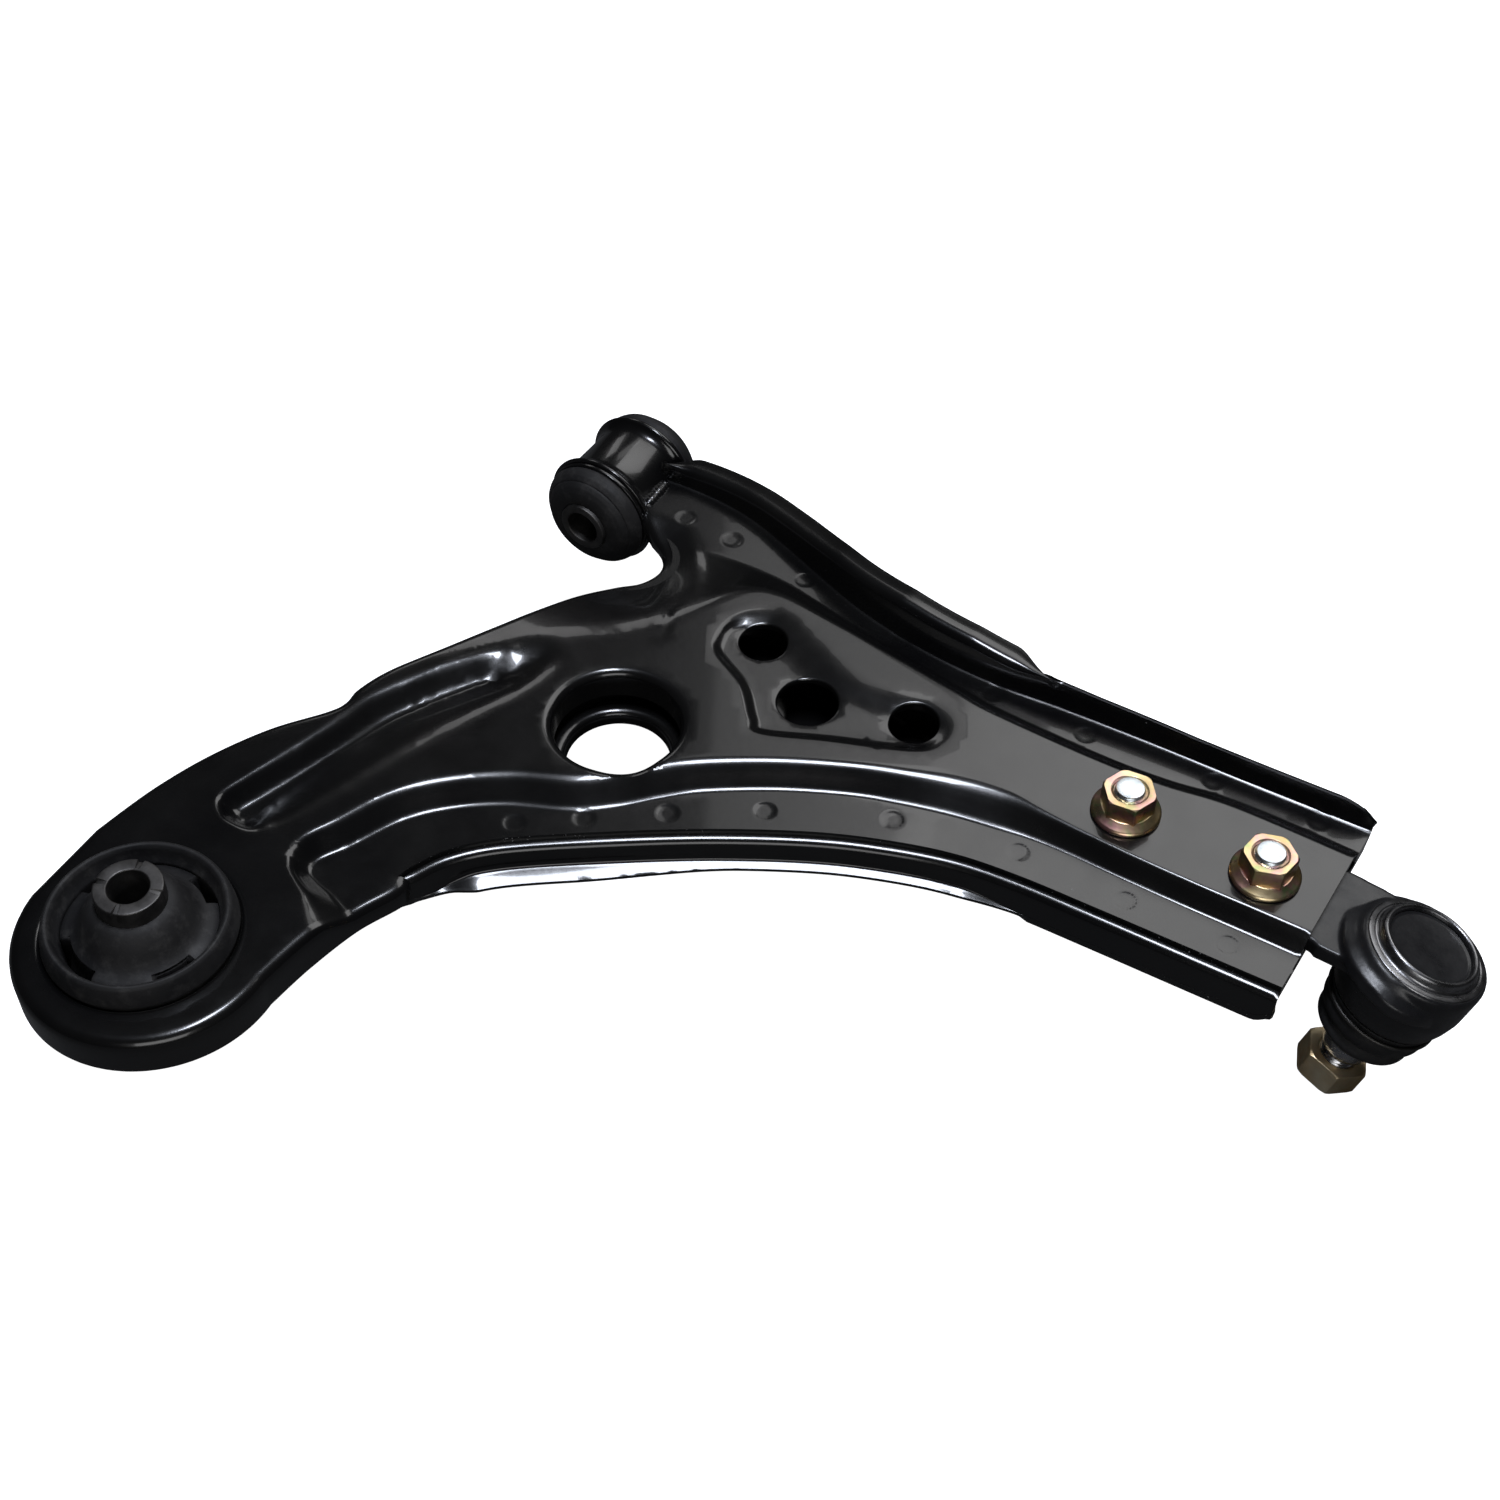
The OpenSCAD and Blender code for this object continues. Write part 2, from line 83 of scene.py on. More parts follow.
# --- curves --------------------------------------------------------------------------
def smooth(points, n=8, closed=False):
    """A Catmull-Rom curve through the points; extra columns are carried along."""
    p = np.array(points, float)
    count = len(p)
    out = []
    for i in range(count if closed else count - 1):
        if closed:
            a, b, c, d = (p[(i + k) % count] for k in (-1, 0, 1, 2))
        else:
            a, b, c, d = (p[min(max(i + k, 0), count - 1)] for k in (-1, 0, 1, 2))
        for k in range(n):
            t = k / n
            out.append(
                0.5 * (2 * b + (c - a) * t + (2 * a - 5 * b + 4 * c - d) * t * t
                       + (3 * b - a - 3 * c + d) * t ** 3)
            )
    if not closed:
        out.append(p[-1])
    return np.array(out)


def arc(centre, r, a0, a1, n):
    a = np.radians(np.linspace(a0, a1, n + 1))
    return np.column_stack([centre[0] + r * np.cos(a), centre[1] + r * np.sin(a)])


def tangents(p, closed):
    if closed:
        d = np.roll(p, -1, 0) - np.roll(p, 1, 0)
    else:
        d = np.gradient(p, axis=0)
    return d / np.maximum(np.linalg.norm(d, axis=1), 1e-9)[:, None]


def left_normals(p, closed):
    t = tangents(p, closed)
    return np.column_stack([-t[:, 1], t[:, 0]])


def beside(p, d):
    """A curve moved sideways by d, to the left of its own direction."""
    return p + left_normals(p, False) * np.reshape(d, (-1, 1))


def resample(p, step, closed=False):
    q = np.vstack([p, p[:1]]) if closed else p
    s = np.concatenate([[0], np.cumsum(np.linalg.norm(np.diff(q[:, :2], axis=0), axis=1))])
    n = max(4, int(round(s[-1] / step)))
    at = np.linspace(0, s[-1], n + 1)
    out = np.column_stack([np.interp(at, s, q[:, k]) for k in range(q.shape[1])])
    return out[:-1] if closed else out


# --- fields --------------------------------------------------------------------------
def nearest(points, line, closed):
    """Distance from each point to a polyline, and the place of the nearest point along it."""
    a = line[:, :2]
    b = np.roll(a, -1, 0) if closed else a[1:]
    a = a if closed else a[:-1]
    ab = b - a
    length2 = np.maximum((ab ** 2).sum(1), 1e-12)
    dist, place = np.empty(len(points)), np.empty(len(points))
    for s in range(0, len(points), 4000):
        p = points[s:s + 4000]
        ap = p[:, None, :] - a[None]
        t = np.clip((ap * ab[None]).sum(2) / length2, 0, 1)
        d2 = ((ap - t[:, :, None] * ab[None]) ** 2).sum(2)
        k = d2.argmin(1)
        rows = np.arange(len(p))
        dist[s:s + 4000] = np.sqrt(d2[rows, k])
        place[s:s + 4000] = k + t[rows, k]
    return dist, place


def inside(points, outline):
    x, y = points[:, 0], points[:, 1]
    a, b = outline[:, :2], np.roll(outline[:, :2], -1, 0)
    hit = np.zeros(len(points), bool)
    for (x0, y0), (x1, y1) in zip(a, b):
        if y0 != y1:
            crosses = ((y0 > y) != (y1 > y)) & (x < (x1 - x0) * (y - y0) / (y1 - y0) + x0)
            hit ^= crosses
    return hit


def signed(points, outline):
    """Distance to a closed outline, positive inside, and its third column at the nearest point."""
    dist, place = nearest(points, outline, True)
    sign = np.where(inside(points, outline), 1.0, -1.0)
    ring = np.vstack([outline, outline[:1]])
    value = np.interp(place, np.arange(len(ring)), ring[:, 2]) if outline.shape[1] > 2 else None
    return dist * sign, value


def soft(d, r):
    """max(0, d) with its corner rounded over a distance r on both sides."""
    return np.where(d < -r, 0, np.where(d > r, d, (d + r) ** 2 / (4 * r)))


def slope(d, width, drop, foot_r, top_r):
    return drop / width * (soft(d, foot_r) - soft(d - width, top_r))


def smoothstep(a, b, x):
    t = np.clip((x - a) / (b - a), 0, 1)
    return t * t * (3 - 2 * t)


# --- plan view of the sheets -----------------------------------------------------------
# Edge that rolls down beside the front bush: its height, and how steeply the sheet rises from it
ROLLED = [[-6, -126, 16, 0.3], [1.5, -110, 13.6, 0.15], [9.5, -91, 12, 0.14],
          [15.5, -76, 10.4, 0.18], [22, -60, 7.6, 0.23], [29, -47, 4.4, 0.33],
          [34, -39.5, 3.0, 0.39], [35.6, -32, 2.4, 0.42], [33, -26, 2.8, 0.40],
          [27, -21.5, 4.2, 0.36], [20.5, -17, 6.2, 0.4], [15.2, -13, 8.4, 0.4]]
ROLL = smooth(ROLLED)

front_edge = smooth([[14, 4.5], [34, 5.5], [52, 3.5], [70, -2], [88, -8.5], [106, -14.5],
                     [125, -18.5], [144, -20.5], [164, -20.5], [184, -18.5], [214, -16.5],
                     [250, -15], [BOX_END, -13]])
rear_edge = smooth([[48, -184], [53, -173], [64, -160.5], [88, -142], [116, -122.5],
                    [143, -106.5], [164, -97], [184, -90.5], [204, -87.5], [228, -86],
                    [258, -84.5], [BOX_END, -83]])
rear_end = arc([2, -247.5], 40, 8, -168, 60)
inner_edge = smooth([[-38.5, -226], [-35.5, -205], [-30, -185], [-21.5, -166],
                     [-11, -150.5], [-8.6, -144.5], [-9, -138]] + [p[:2] for p in ROLLED])
rear_flank = smooth([[41.6, -241], [42.8, -226], [46, -208], [51.5, -193], [50.2, -187.5]])

# Foot of the raised top, with the width of its slope; outside the sheet it runs wide
RAISED = np.vstack([
    smooth([[310, -24, 6], [288, -24.2, 6], [249, -25.2, 6], [226, -29, 6], [204, -30.8, 6],
            [168, -30.8, 6], [152.6, -29, 6], [128, -26, 6], [107, -23, 6.5], [84, -18.7, 9],
            [71, -17.5, 16], [58, -18, 32], [46, -20, 44], [34, -26, 44], [20, -36, 44],
            [-10, -46, 40]]),
    [[-60, -120, 8], [-80, -200, 8], [-80, -320, 8], [90, -320, 30], [80, -240, 30]],
    smooth([[70, -226, 13], [56, -215, 13], [44, -208.5, 11], [35, -205.5, 8], [28.5, -204.5, 5.5],
            [23.5, -202.5, 4.5], [22.2, -197, 5], [27.3, -187, 6], [34, -171, 6.5],
            [43.8, -159, 7], [58, -148, 7.5], [76, -139, 8], [86.5, -130.5, 8], [96, -120, 7.5],
            [106, -110.5, 7], [125, -97.5, 6.6], [145, -87, 6.6], [160, -81.5, 7.4],
            [176, -77, 8.8], [191, -74, 8.4], [202, -71.8, 5.4], [214, -70.9, 4],
            [232, -70.7, 3.6], [252, -70.3, 3.6], [270, -69.7, 3.8], [288, -69.2, 4],
            [310, -68.5, 4]]),
])

# Top rim of the long groove beside the inner edge, with the width of its slope
GROOVE = smooth([[-14.5, -196.5, 4], [-12.6, -186, 5], [-9.6, -174.6, 5.5], [-5, -155.7, 6],
                 [-2, -139.4, 6.5], [5.3, -123, 7], [12, -110.5, 7.5], [18, -101, 9],
                 [25.5, -92.5, 16], [33, -89.5, 18], [38.5, -95, 16], [37, -108, 14],
                 [31, -124, 16], [24, -143, 18], [18, -162, 18], [12, -181, 16],
                 [7, -194, 13], [2, -201, 7], [-4, -202.6, 4], [-10, -201.5, 4]], closed=True)
GENTLE = (60, 132)  # places along it between which the slope is the gentle, outer one

# Shallow pad, with the width of its slope
PAD = smooth([[76, -57, 2.4], [80, -63, 2.4], [94, -70.5, 2.4], [104, -81, 2.4], [110, -85, 2.4],
              [130, -76, 2.6], [154, -65.5, 3], [160.5, -58, 5], [159, -48.5, 7], [150, -44, 8],
              [136, -47.5, 9], [121, -48, 9], [103, -41, 9], [88, -35.5, 9], [80, -40, 6],
              [75.5, -48, 2.4]], closed=True)
PAD_HOLES = [([89.5, -49], 7.9), ([115.5, -64], 9.9), ([149, -54], 7.9)]

SPOT_WELDS = [[32.7, -8.5], [52.2, -9.3], [83.7, -12.6], [124.3, -20.9], [162.4, -24.8],
              [195.8, -24.9], [238.3, -20.6], [272.9, -18.2], [126.3, -107.3], [161.4, -89],
              [200, -79.4], [235.7, -78.7], [268.3, -77.3], [64, -153], [81, -140],
              [101.5, -124.3]]


def weld_marks(points):
    z = np.zeros(len(points))
    for c in SPOT_WELDS:
        r = np.linalg.norm(points - np.array(c), axis=1)
        z -= 0.13 * (1 - smoothstep(2.9, 3.6, r))
    return z


def groove_depth(points):
    """The lesser of a steep slope from the inner side and a gentle one from the outer side."""
    _, place = nearest(points, GROOVE, True)
    outside = ~inside(points, GROOVE)
    gentle = (place > GENTLE[0]) & (place < GENTLE[1])
    steep_side = np.vstack([GROOVE[GENTLE[1]:], GROOVE[:GENTLE[0] + 1]])
    gentle_side = GROOVE[GENTLE[0]:GENTLE[1] + 1]
    depths = []
    for side, own in ((steep_side, ~gentle), (gentle_side, gentle)):
        d, along = nearest(points, side, False)
        width = np.interp(along, np.arange(len(side)), side[:, 2])
        d = np.where(outside & own, -d, d)
        depths.append(slope(d, width, TOP_Z - LEDGE_Z, 0.3 * width, 1.4))
    a, b = depths
    return a - soft(a - b, 1.2)


def upper_height(points):
    """Height of the top sheet's outer face above the front bush axis."""
    d, width = signed(points, RAISED)
    z = LEDGE_Z + slope(d, width, TOP_Z - LEDGE_Z, 1.3, 0.28 * width)
    dist, place = nearest(points, ROLL, False)
    low, rise = (np.interp(place, np.arange(len(ROLL)), ROLL[:, k]) for k in (2, 3))
    z -= soft(z - low - rise * dist, 1.0)
    z -= groove_depth(points)
    d, width = signed(points, PAD)
    z -= slope(d, width, 2.0, 0.35 * width, 0.5 * width)
    return z + weld_marks(points)


# Sunk pan of the bottom sheet
PAN = smooth([[18, -186], [30, -166], [56, -152], [86, -134], [104, -114], [128, -98],
              [154, -86], [182, -76], [197, -66], [199, -52], [194, -41], [176, -38],
              [140, -36], [104, -30], [80, -27.5], [66, -34], [60, -50], [54, -70],
              [44, -92], [34, -112], [24, -134], [15, -158], [9, -176]], closed=True)
LOW_HOLE_R = 17.0


def lower_height(points):
    """Height of the bottom sheet's upper face."""
    d, _ = signed(points, PAN)
    z = WEB_Z - slope(d, 5.5, WEB_Z - PAN_Z, 1.6, 1.6)
    r = np.linalg.norm(points - BIG_HOLE, axis=1)
    return z + 4.5 * (1 - smoothstep(21, 28, r))


# --- sheet meshes ----------------------------------------------------------------------
class Skin:
    """One face of a pressed sheet: a triangulated plan with a height, and strips added at its edges."""

    def __init__(self, loops, rows, height, spacing=3.4, clear=1.5, fill=None):
        taken = {}
        cell = 0.5

        def room(p, gap):
            kx, ky = int(p[0] // cell), int(p[1] // cell)
            reach = int(math.ceil(gap / cell))
            for i in range(kx - reach, kx + reach + 1):
                for j in range(ky - reach, ky + reach + 1):
                    for q in taken.get((i, j), ()):
                        if (q[0] - p[0]) ** 2 + (q[1] - p[1]) ** 2 < gap * gap:
                            return False
            return True

        points, edges, self.loops = [], [], []

        def add(p):
            taken.setdefault((int(p[0] // cell), int(p[1] // cell)), []).append(p)
            points.append(p[:2])

        for loop in loops:
            first = len(points)
            for p in loop:
                add(p)
            n = len(loop)
            self.loops.append(np.arange(first, first + n))
            edges += [(first + i, first + (i + 1) % n) for i in range(n)]
        outer, holes = loops[0], loops[1:]

        def keep(candidates, gap):
            ok = inside(candidates, outer)
            for h in holes:
                ok &= ~inside(candidates, h)
            for p in candidates[ok]:
                if room(p, gap):
                    add(p)

        for row in rows:
            keep(row, 0.45)
        if fill is not None:
            keep(fill, 1.0)
        low, high = outer[:, :2].min(0), outer[:, :2].max(0)
        grid = [
            [low[0] + (i + 0.5 * (j % 2)) * spacing, low[1] + j * spacing * 0.866]
            for j in range(int((high[1] - low[1]) / spacing / 0.866) + 1)
            for i in range(int((high[0] - low[0]) / spacing) + 1)
        ]
        keep(np.array(grid), clear)
        made = geometry.delaunay_2d_cdt([Vector(p) for p in points], edges, [], 0, 1e-4)
        plan = np.array([[v[0], v[1]] for v in made[0]])
        index = {}
        for new, old in enumerate(made[3]):
            for o in old:
                index[o] = new
        tris = np.array([f for f in made[2] if len(f) == 3])
        centre = plan[tris].mean(1)
        ok = inside(centre, outer)
        for h in holes:
            ok &= ~inside(centre, h)
        self.loops = [np.array([index[i] for i in loop]) for loop in self.loops]
        self.plan = plan
        self.verts = [list(v) for v in np.column_stack([plan, height(plan)])]
        self.faces = [tuple(int(i) for i in f) for f in tris[ok]]

    def strip(self, loop, profile, first=0, last=None):
        """Adds rows of faces outwards from part of a loop.

        profile(points, heights) gives an (offset, height) pair of arrays for each row.
        """
        ids = self.loops[loop]
        n = len(ids)
        closed = last is None
        use = ids if closed else ids[first:last + 1]
        base = np.array([self.verts[i] for i in use])
        normal = -left_normals(base[:, :2], closed)
        rows = [list(use)]
        for offset, z in profile(base[:, :2], base[:, 2]):
            start = len(self.verts)
            p = base[:, :2] + normal * np.reshape(offset, (-1, 1))
            p[:, 0] = np.minimum(p[:, 0], BOX_END + 0.1)
            self.verts += [[a, b, c] for (a, b), c in zip(p, np.broadcast_to(z, len(p)))]
            rows.append(list(range(start, start + len(p))))
        m = len(use)
        for a, b in zip(rows, rows[1:]):
            for i in range(m if closed else m - 1):
                j = (i + 1) % m
                self.faces.append((int(a[i]), int(b[i]), int(b[j]), int(a[j])))


def turned_down(radius, bottom, steps=5):
    """A convex bend and a wall that ends at the height bottom."""
    def profile(p, z):
        end = np.minimum(bottom(p) if callable(bottom) else bottom, z - 1.1)
        r = np.minimum(radius, 0.8 * (z - end))
        rows = []
        for k in range(1, steps + 1):
            a = math.radians(90 * k / steps)
            rows.append((r * math.sin(a), z - r * (1 - math.cos(a))))
        for k in (0.34, 0.67, 1.0):
            rows.append((r, z - r + (end - z + r) * k))
        return rows
    return profile


def solid_sheet(name, skin):
    mesh = bpy.data.meshes.new(name)
    mesh.from_pydata([[c * MM for c in v] for v in skin.verts], [], skin.faces)
    obj = bpy.data.objects.new(name, mesh)
    bpy.context.scene.collection.objects.link(obj)
    for m in (COAT, COAT_EDGE):
        mesh.materials.append(m)
    m = obj.modifiers.new("thickness", "SOLIDIFY")
    m.thickness = SHEET_T * MM
    m.offset = -1
    m.use_quality_normals = True
    m.material_offset_rim = 1
    b = obj.modifiers.new("edge", "BEVEL")
    b.width = EDGE_ROUND * MM
    b.segments = 2
    b.limit_method = "ANGLE"
    b.angle_limit = math.radians(50)
    return settle(obj)


def settle(obj, sharp=35):
    """Applies the modifiers, and shades the piece smooth up to that angle."""
    graph = bpy.context.evaluated_depsgraph_get()
    mesh = bpy.data.meshes.new_from_object(obj.evaluated_get(graph))
    obj.modifiers.clear()
    obj.data = mesh
    mesh.shade_smooth()
    if sharp:
        mesh.set_sharp_from_angle(angle=math.radians(sharp))
    return obj


def band(a, b):
    """Faces between two closed rings of point numbers."""
    n = len(a)
    return [(a[i], a[(i + 1) % n], b[(i + 1) % n], b[i]) for i in range(n)]


def mesh_object(name, verts, faces, mats, matrix=None, sharp=35, bevel=0.0):
    mesh = bpy.data.meshes.new(name)
    mesh.from_pydata([[c * MM for c in v] for v in verts], [], faces)
    mesh.validate()
    obj = bpy.data.objects.new(name, mesh)
    bpy.context.scene.collection.objects.link(obj)
    for m in mats if isinstance(mats, (list, tuple)) else [mats]:
        mesh.materials.append(m)
    if matrix is not None:
        mesh.transform(matrix)
    if bevel:
        b = obj.modifiers.new("edge", "BEVEL")
        b.width = bevel * MM
        b.segments = 2
        b.limit_method = "ANGLE"
        b.angle_limit = math.radians(32)
    return settle(obj, sharp)


def joined(parts, step):
    """One closed outline from several curves, and the index range of each curve."""
    outline, marks = [], []
    for part in parts:
        start = len(outline)
        for p in resample(part, step):
            if not outline or np.linalg.norm(outline[-1] - p) > 0.4 * step:
                outline.append(p)
        marks.append((start, len(outline) - 1))
    last, first = outline[-1], outline[0]
    n = int(np.linalg.norm(last - first) / step)
    outline += [last + (first - last) * k / n for k in range(1, n)]
    return np.array(outline), marks


def offset_rows(line, closed, offsets):
    """Points beside a line at several distances; a distance may depend on the line's third column."""
    n = left_normals(line[:, :2], closed)
    rows = []
    for f in offsets:
        d = f(line[:, 2]) if callable(f) else np.full(len(line), float(f))
        p = line[:, :2] + n * d[:, None]
        true, _ = nearest(p, line, closed)
        rows.append(p[np.abs(true - np.abs(d)) < 0.12])
    return rows


# --- materials -------------------------------------------------------------------------
class Paint:
    def __init__(self, name):
        self.material = bpy.data.materials.new(name)
        self.material.use_nodes = True
        self.tree = self.material.node_tree
        self.bsdf = next(n for n in self.tree.nodes if n.type == "BSDF_PRINCIPLED")
        self.place = self.add("ShaderNodeTexCoord").outputs["Object"]

    def add(self, kind, **settings):
        node = self.tree.nodes.new(kind)
        for k, v in settings.items():
            setattr(node, k, v)
        return node

    def put(self, socket, value):
        if isinstance(value, bpy.types.NodeSocket):
            self.tree.links.new(value, socket)
        else:
            socket.default_value = value

    def noise(self, scale, detail=3.0, rough=0.5):
        n = self.add("ShaderNodeTexNoise")
        for name, value in (("Scale", scale), ("Detail", detail), ("Roughness", rough),
                            ("Vector", self.place)):
            self.put(n.inputs[name], value)
        return n.outputs["Fac"]

    def cells(self, scale, output="Distance"):
        n = self.add("ShaderNodeTexVoronoi")
        n.inputs["Scale"].default_value = scale
        self.put(n.inputs["Vector"], self.place)
        return n.outputs[output]

    def span(self, value, a, b, low=0.0, high=1.0):
        n = self.add("ShaderNodeMapRange")
        for name, v in (("From Min", a), ("From Max", b), ("To Min", low), ("To Max", high),
                        ("Value", value)):
            self.put(n.inputs[name], v)
        return n.outputs["Result"]

    def times(self, a, b, kind="MULTIPLY"):
        n = self.add("ShaderNodeMath", operation=kind)
        self.put(n.inputs[0], a)
        self.put(n.inputs[1], b)
        return n.outputs[0]

    def mix(self, share, a, b):
        n = self.add("ShaderNodeMix", data_type="RGBA")
        self.put(n.inputs["Factor"], share)
        colours = [s for s in n.inputs if s.type == "RGBA"]
        for socket, value in zip(colours, (a, b)):
            if not isinstance(value, bpy.types.NodeSocket):
                value = (*value, 1.0)
            self.put(socket, value)
        return next(s for s in n.outputs if s.type == "RGBA")

    def bump(self, height, distance, strength=1.0, under=None):
        n = self.add("ShaderNodeBump")
        n.inputs["Distance"].default_value = distance
        n.inputs["Strength"].default_value = strength
        self.put(n.inputs["Height"], height)
        if under is not None:
            self.put(n.inputs["Normal"], under)
        return n.outputs["Normal"]

    def finish(self, **sockets):
        for name, value in sockets.items():
            socket = self.bsdf.inputs[name.replace("_", " ")]
            if isinstance(value, tuple) and len(value) == 3:
                value = (*value, 1.0)
            self.put(socket, value)
        return self.material


def black_coat(name, flecks=False):
    """Glossy black dip paint with faint orange peel, dust specks, and chips on cut edges."""
    p = Paint(name)
    cloud = p.span(p.noise(28, 4), 0.35, 0.7)
    colour = p.mix(cloud, (0.0026, 0.0026, 0.003), (0.0055, 0.0054, 0.0053))
    rough = p.span(p.noise(60, 5, 0.6), 0.3, 0.75, 0.2, 0.28)
    speck = p.times(
        p.span(p.cells(240), 0.10, 0.05),
        p.span(p.cells(240, "Color"), 0.93, 0.95),
    )
    peel = p.bump(p.noise(520, 2), 0.00004, 0.35)
    if flecks:
        chips = p.span(p.noise(1100, 3, 0.65), 0.66, 0.70)
        chips = p.times(chips, p.span(p.noise(70, 2), 0.45, 0.6))
        colour = p.mix(chips, colour, (0.55, 0.55, 0.57))
        rough = p.times(rough, p.times(chips, 0.2), "ADD")
        peel = p.bump(p.noise(1400, 3), 0.00012, 0.6, peel)
    else:
        colour = p.mix(speck, colour, (0.3, 0.3, 0.31))
        rough = p.times(rough, p.times(speck, 0.5), "ADD")
    return p.finish(Base_Color=colour, Roughness=rough, Normal=peel,
                    Coat_Weight=0.5, Coat_Roughness=0.05, Specular_IOR_Level=0.5)


def rubber(name, dark, light, dust):
    p = Paint(name)
    cloud = p.span(p.noise(45, 5, 0.6), 0.35, 0.7)
    colour = p.mix(cloud, dark, light)
    fine = p.noise(900, 3, 0.6)
    powder = p.times(p.span(p.noise(160, 4, 0.7), 0.5, 0.75), dust)
    colour = p.mix(powder, colour, (0.12, 0.115, 0.11))
    rough = p.span(p.noise(90, 3), 0.3, 0.7, 0.52, 0.72)
    normal = p.bump(fine, 0.0001, 0.5)
    normal = p.bump(p.noise(120, 3), 0.0003, 0.3, normal)
    return p.finish(Base_Color=colour, Roughness=rough, Normal=normal, Specular_IOR_Level=0.35)


def metal(name, dark, light, rough, scale, grain, tint=None):
    """Bare or plated metal: colour clouds, optional patches of two tints, and fine grain."""
    p = Paint(name)
    cloud = p.span(p.noise(scale, 5, 0.6), 0.35, 0.68)
    colour = p.mix(cloud, dark, light)
    if tint is not None:
        colour = p.mix(p.span(p.noise(scale * 1.7, 3), 0.46, 0.66), colour, tint[0])
        colour = p.mix(p.span(p.noise(scale * 2.6, 2), 0.55, 0.72), colour, tint[1])
    fine = p.noise(1500, 3, 0.6)
    r = p.span(p.noise(220, 4, 0.6), 0.3, 0.75, rough[0], rough[1])
    normal = p.bump(fine, 0.00006, grain)
    return p.finish(Base_Color=colour, Metallic=1.0, Roughness=r, Normal=normal)


COAT = black_coat("black_coat")
COAT_EDGE = black_coat("black_coat_edge", True)
RUBBER = rubber("rubber", (0.009, 0.009, 0.010), (0.019, 0.018, 0.018), 0.25)
BOOT = rubber("boot_rubber", (0.010, 0.010, 0.011), (0.02, 0.02, 0.021), 0.15)
PHOSPHATE = metal("phosphate_steel", (0.075, 0.072, 0.07), (0.15, 0.145, 0.14), (0.42, 0.6), 120, 0.2)
TURNED = metal("turned_steel", (0.17, 0.17, 0.175), (0.34, 0.34, 0.35), (0.24, 0.38), 90, 0.1)
BRIGHT = metal("bright_steel", (0.42, 0.42, 0.43), (0.68, 0.68, 0.70), (0.18, 0.32), 90, 0.08)
YELLOW = metal("yellow_zinc", (0.62, 0.44, 0.20), (0.86, 0.70, 0.42), (0.26, 0.4), 70, 0.1,
               ((0.78, 0.42, 0.40), (0.42, 0.55, 0.24)))
PALE = metal("pale_zinc", (0.86, 0.64, 0.36), (0.96, 0.84, 0.60), (0.36, 0.5), 70, 0.1)
SILVER = metal("silver_zinc", (0.60, 0.66, 0.70), (0.88, 0.93, 0.96), (0.24, 0.42), 420, 0.3)


def forged(name):
    """Satin black over a forged skin, with faint scale marks."""
    p = Paint(name)
    cloud = p.span(p.noise(40, 5, 0.6), 0.35, 0.7)
    colour = p.mix(cloud, (0.008, 0.008, 0.009), (0.018, 0.018, 0.019))
    rough = p.span(p.noise(150, 4, 0.6), 0.3, 0.75, 0.26, 0.42)
    normal = p.bump(p.noise(350, 4, 0.6), 0.0002, 0.35)
    return p.finish(Base_Color=colour, Roughness=rough, Normal=normal, Specular_IOR_Level=0.5)


FORGED = forged("forged_steel")


def plastic(name):
    p = Paint(name)
    colour = p.mix(p.span(p.noise(80, 3), 0.35, 0.7), (0.74, 0.72, 0.64), (0.82, 0.80, 0.73))
    return p.finish(Base_Color=colour, Roughness=p.span(p.noise(200, 3), 0.3, 0.7, 0.35, 0.5),
                    Normal=p.bump(p.noise(700, 2), 0.00005, 0.3))


PLASTIC = plastic("seat_plastic")


# --- upper sheet -----------------------------------------------------------------------
BEND_R = 3.6
BIG_HOLE_BEND = 3.0


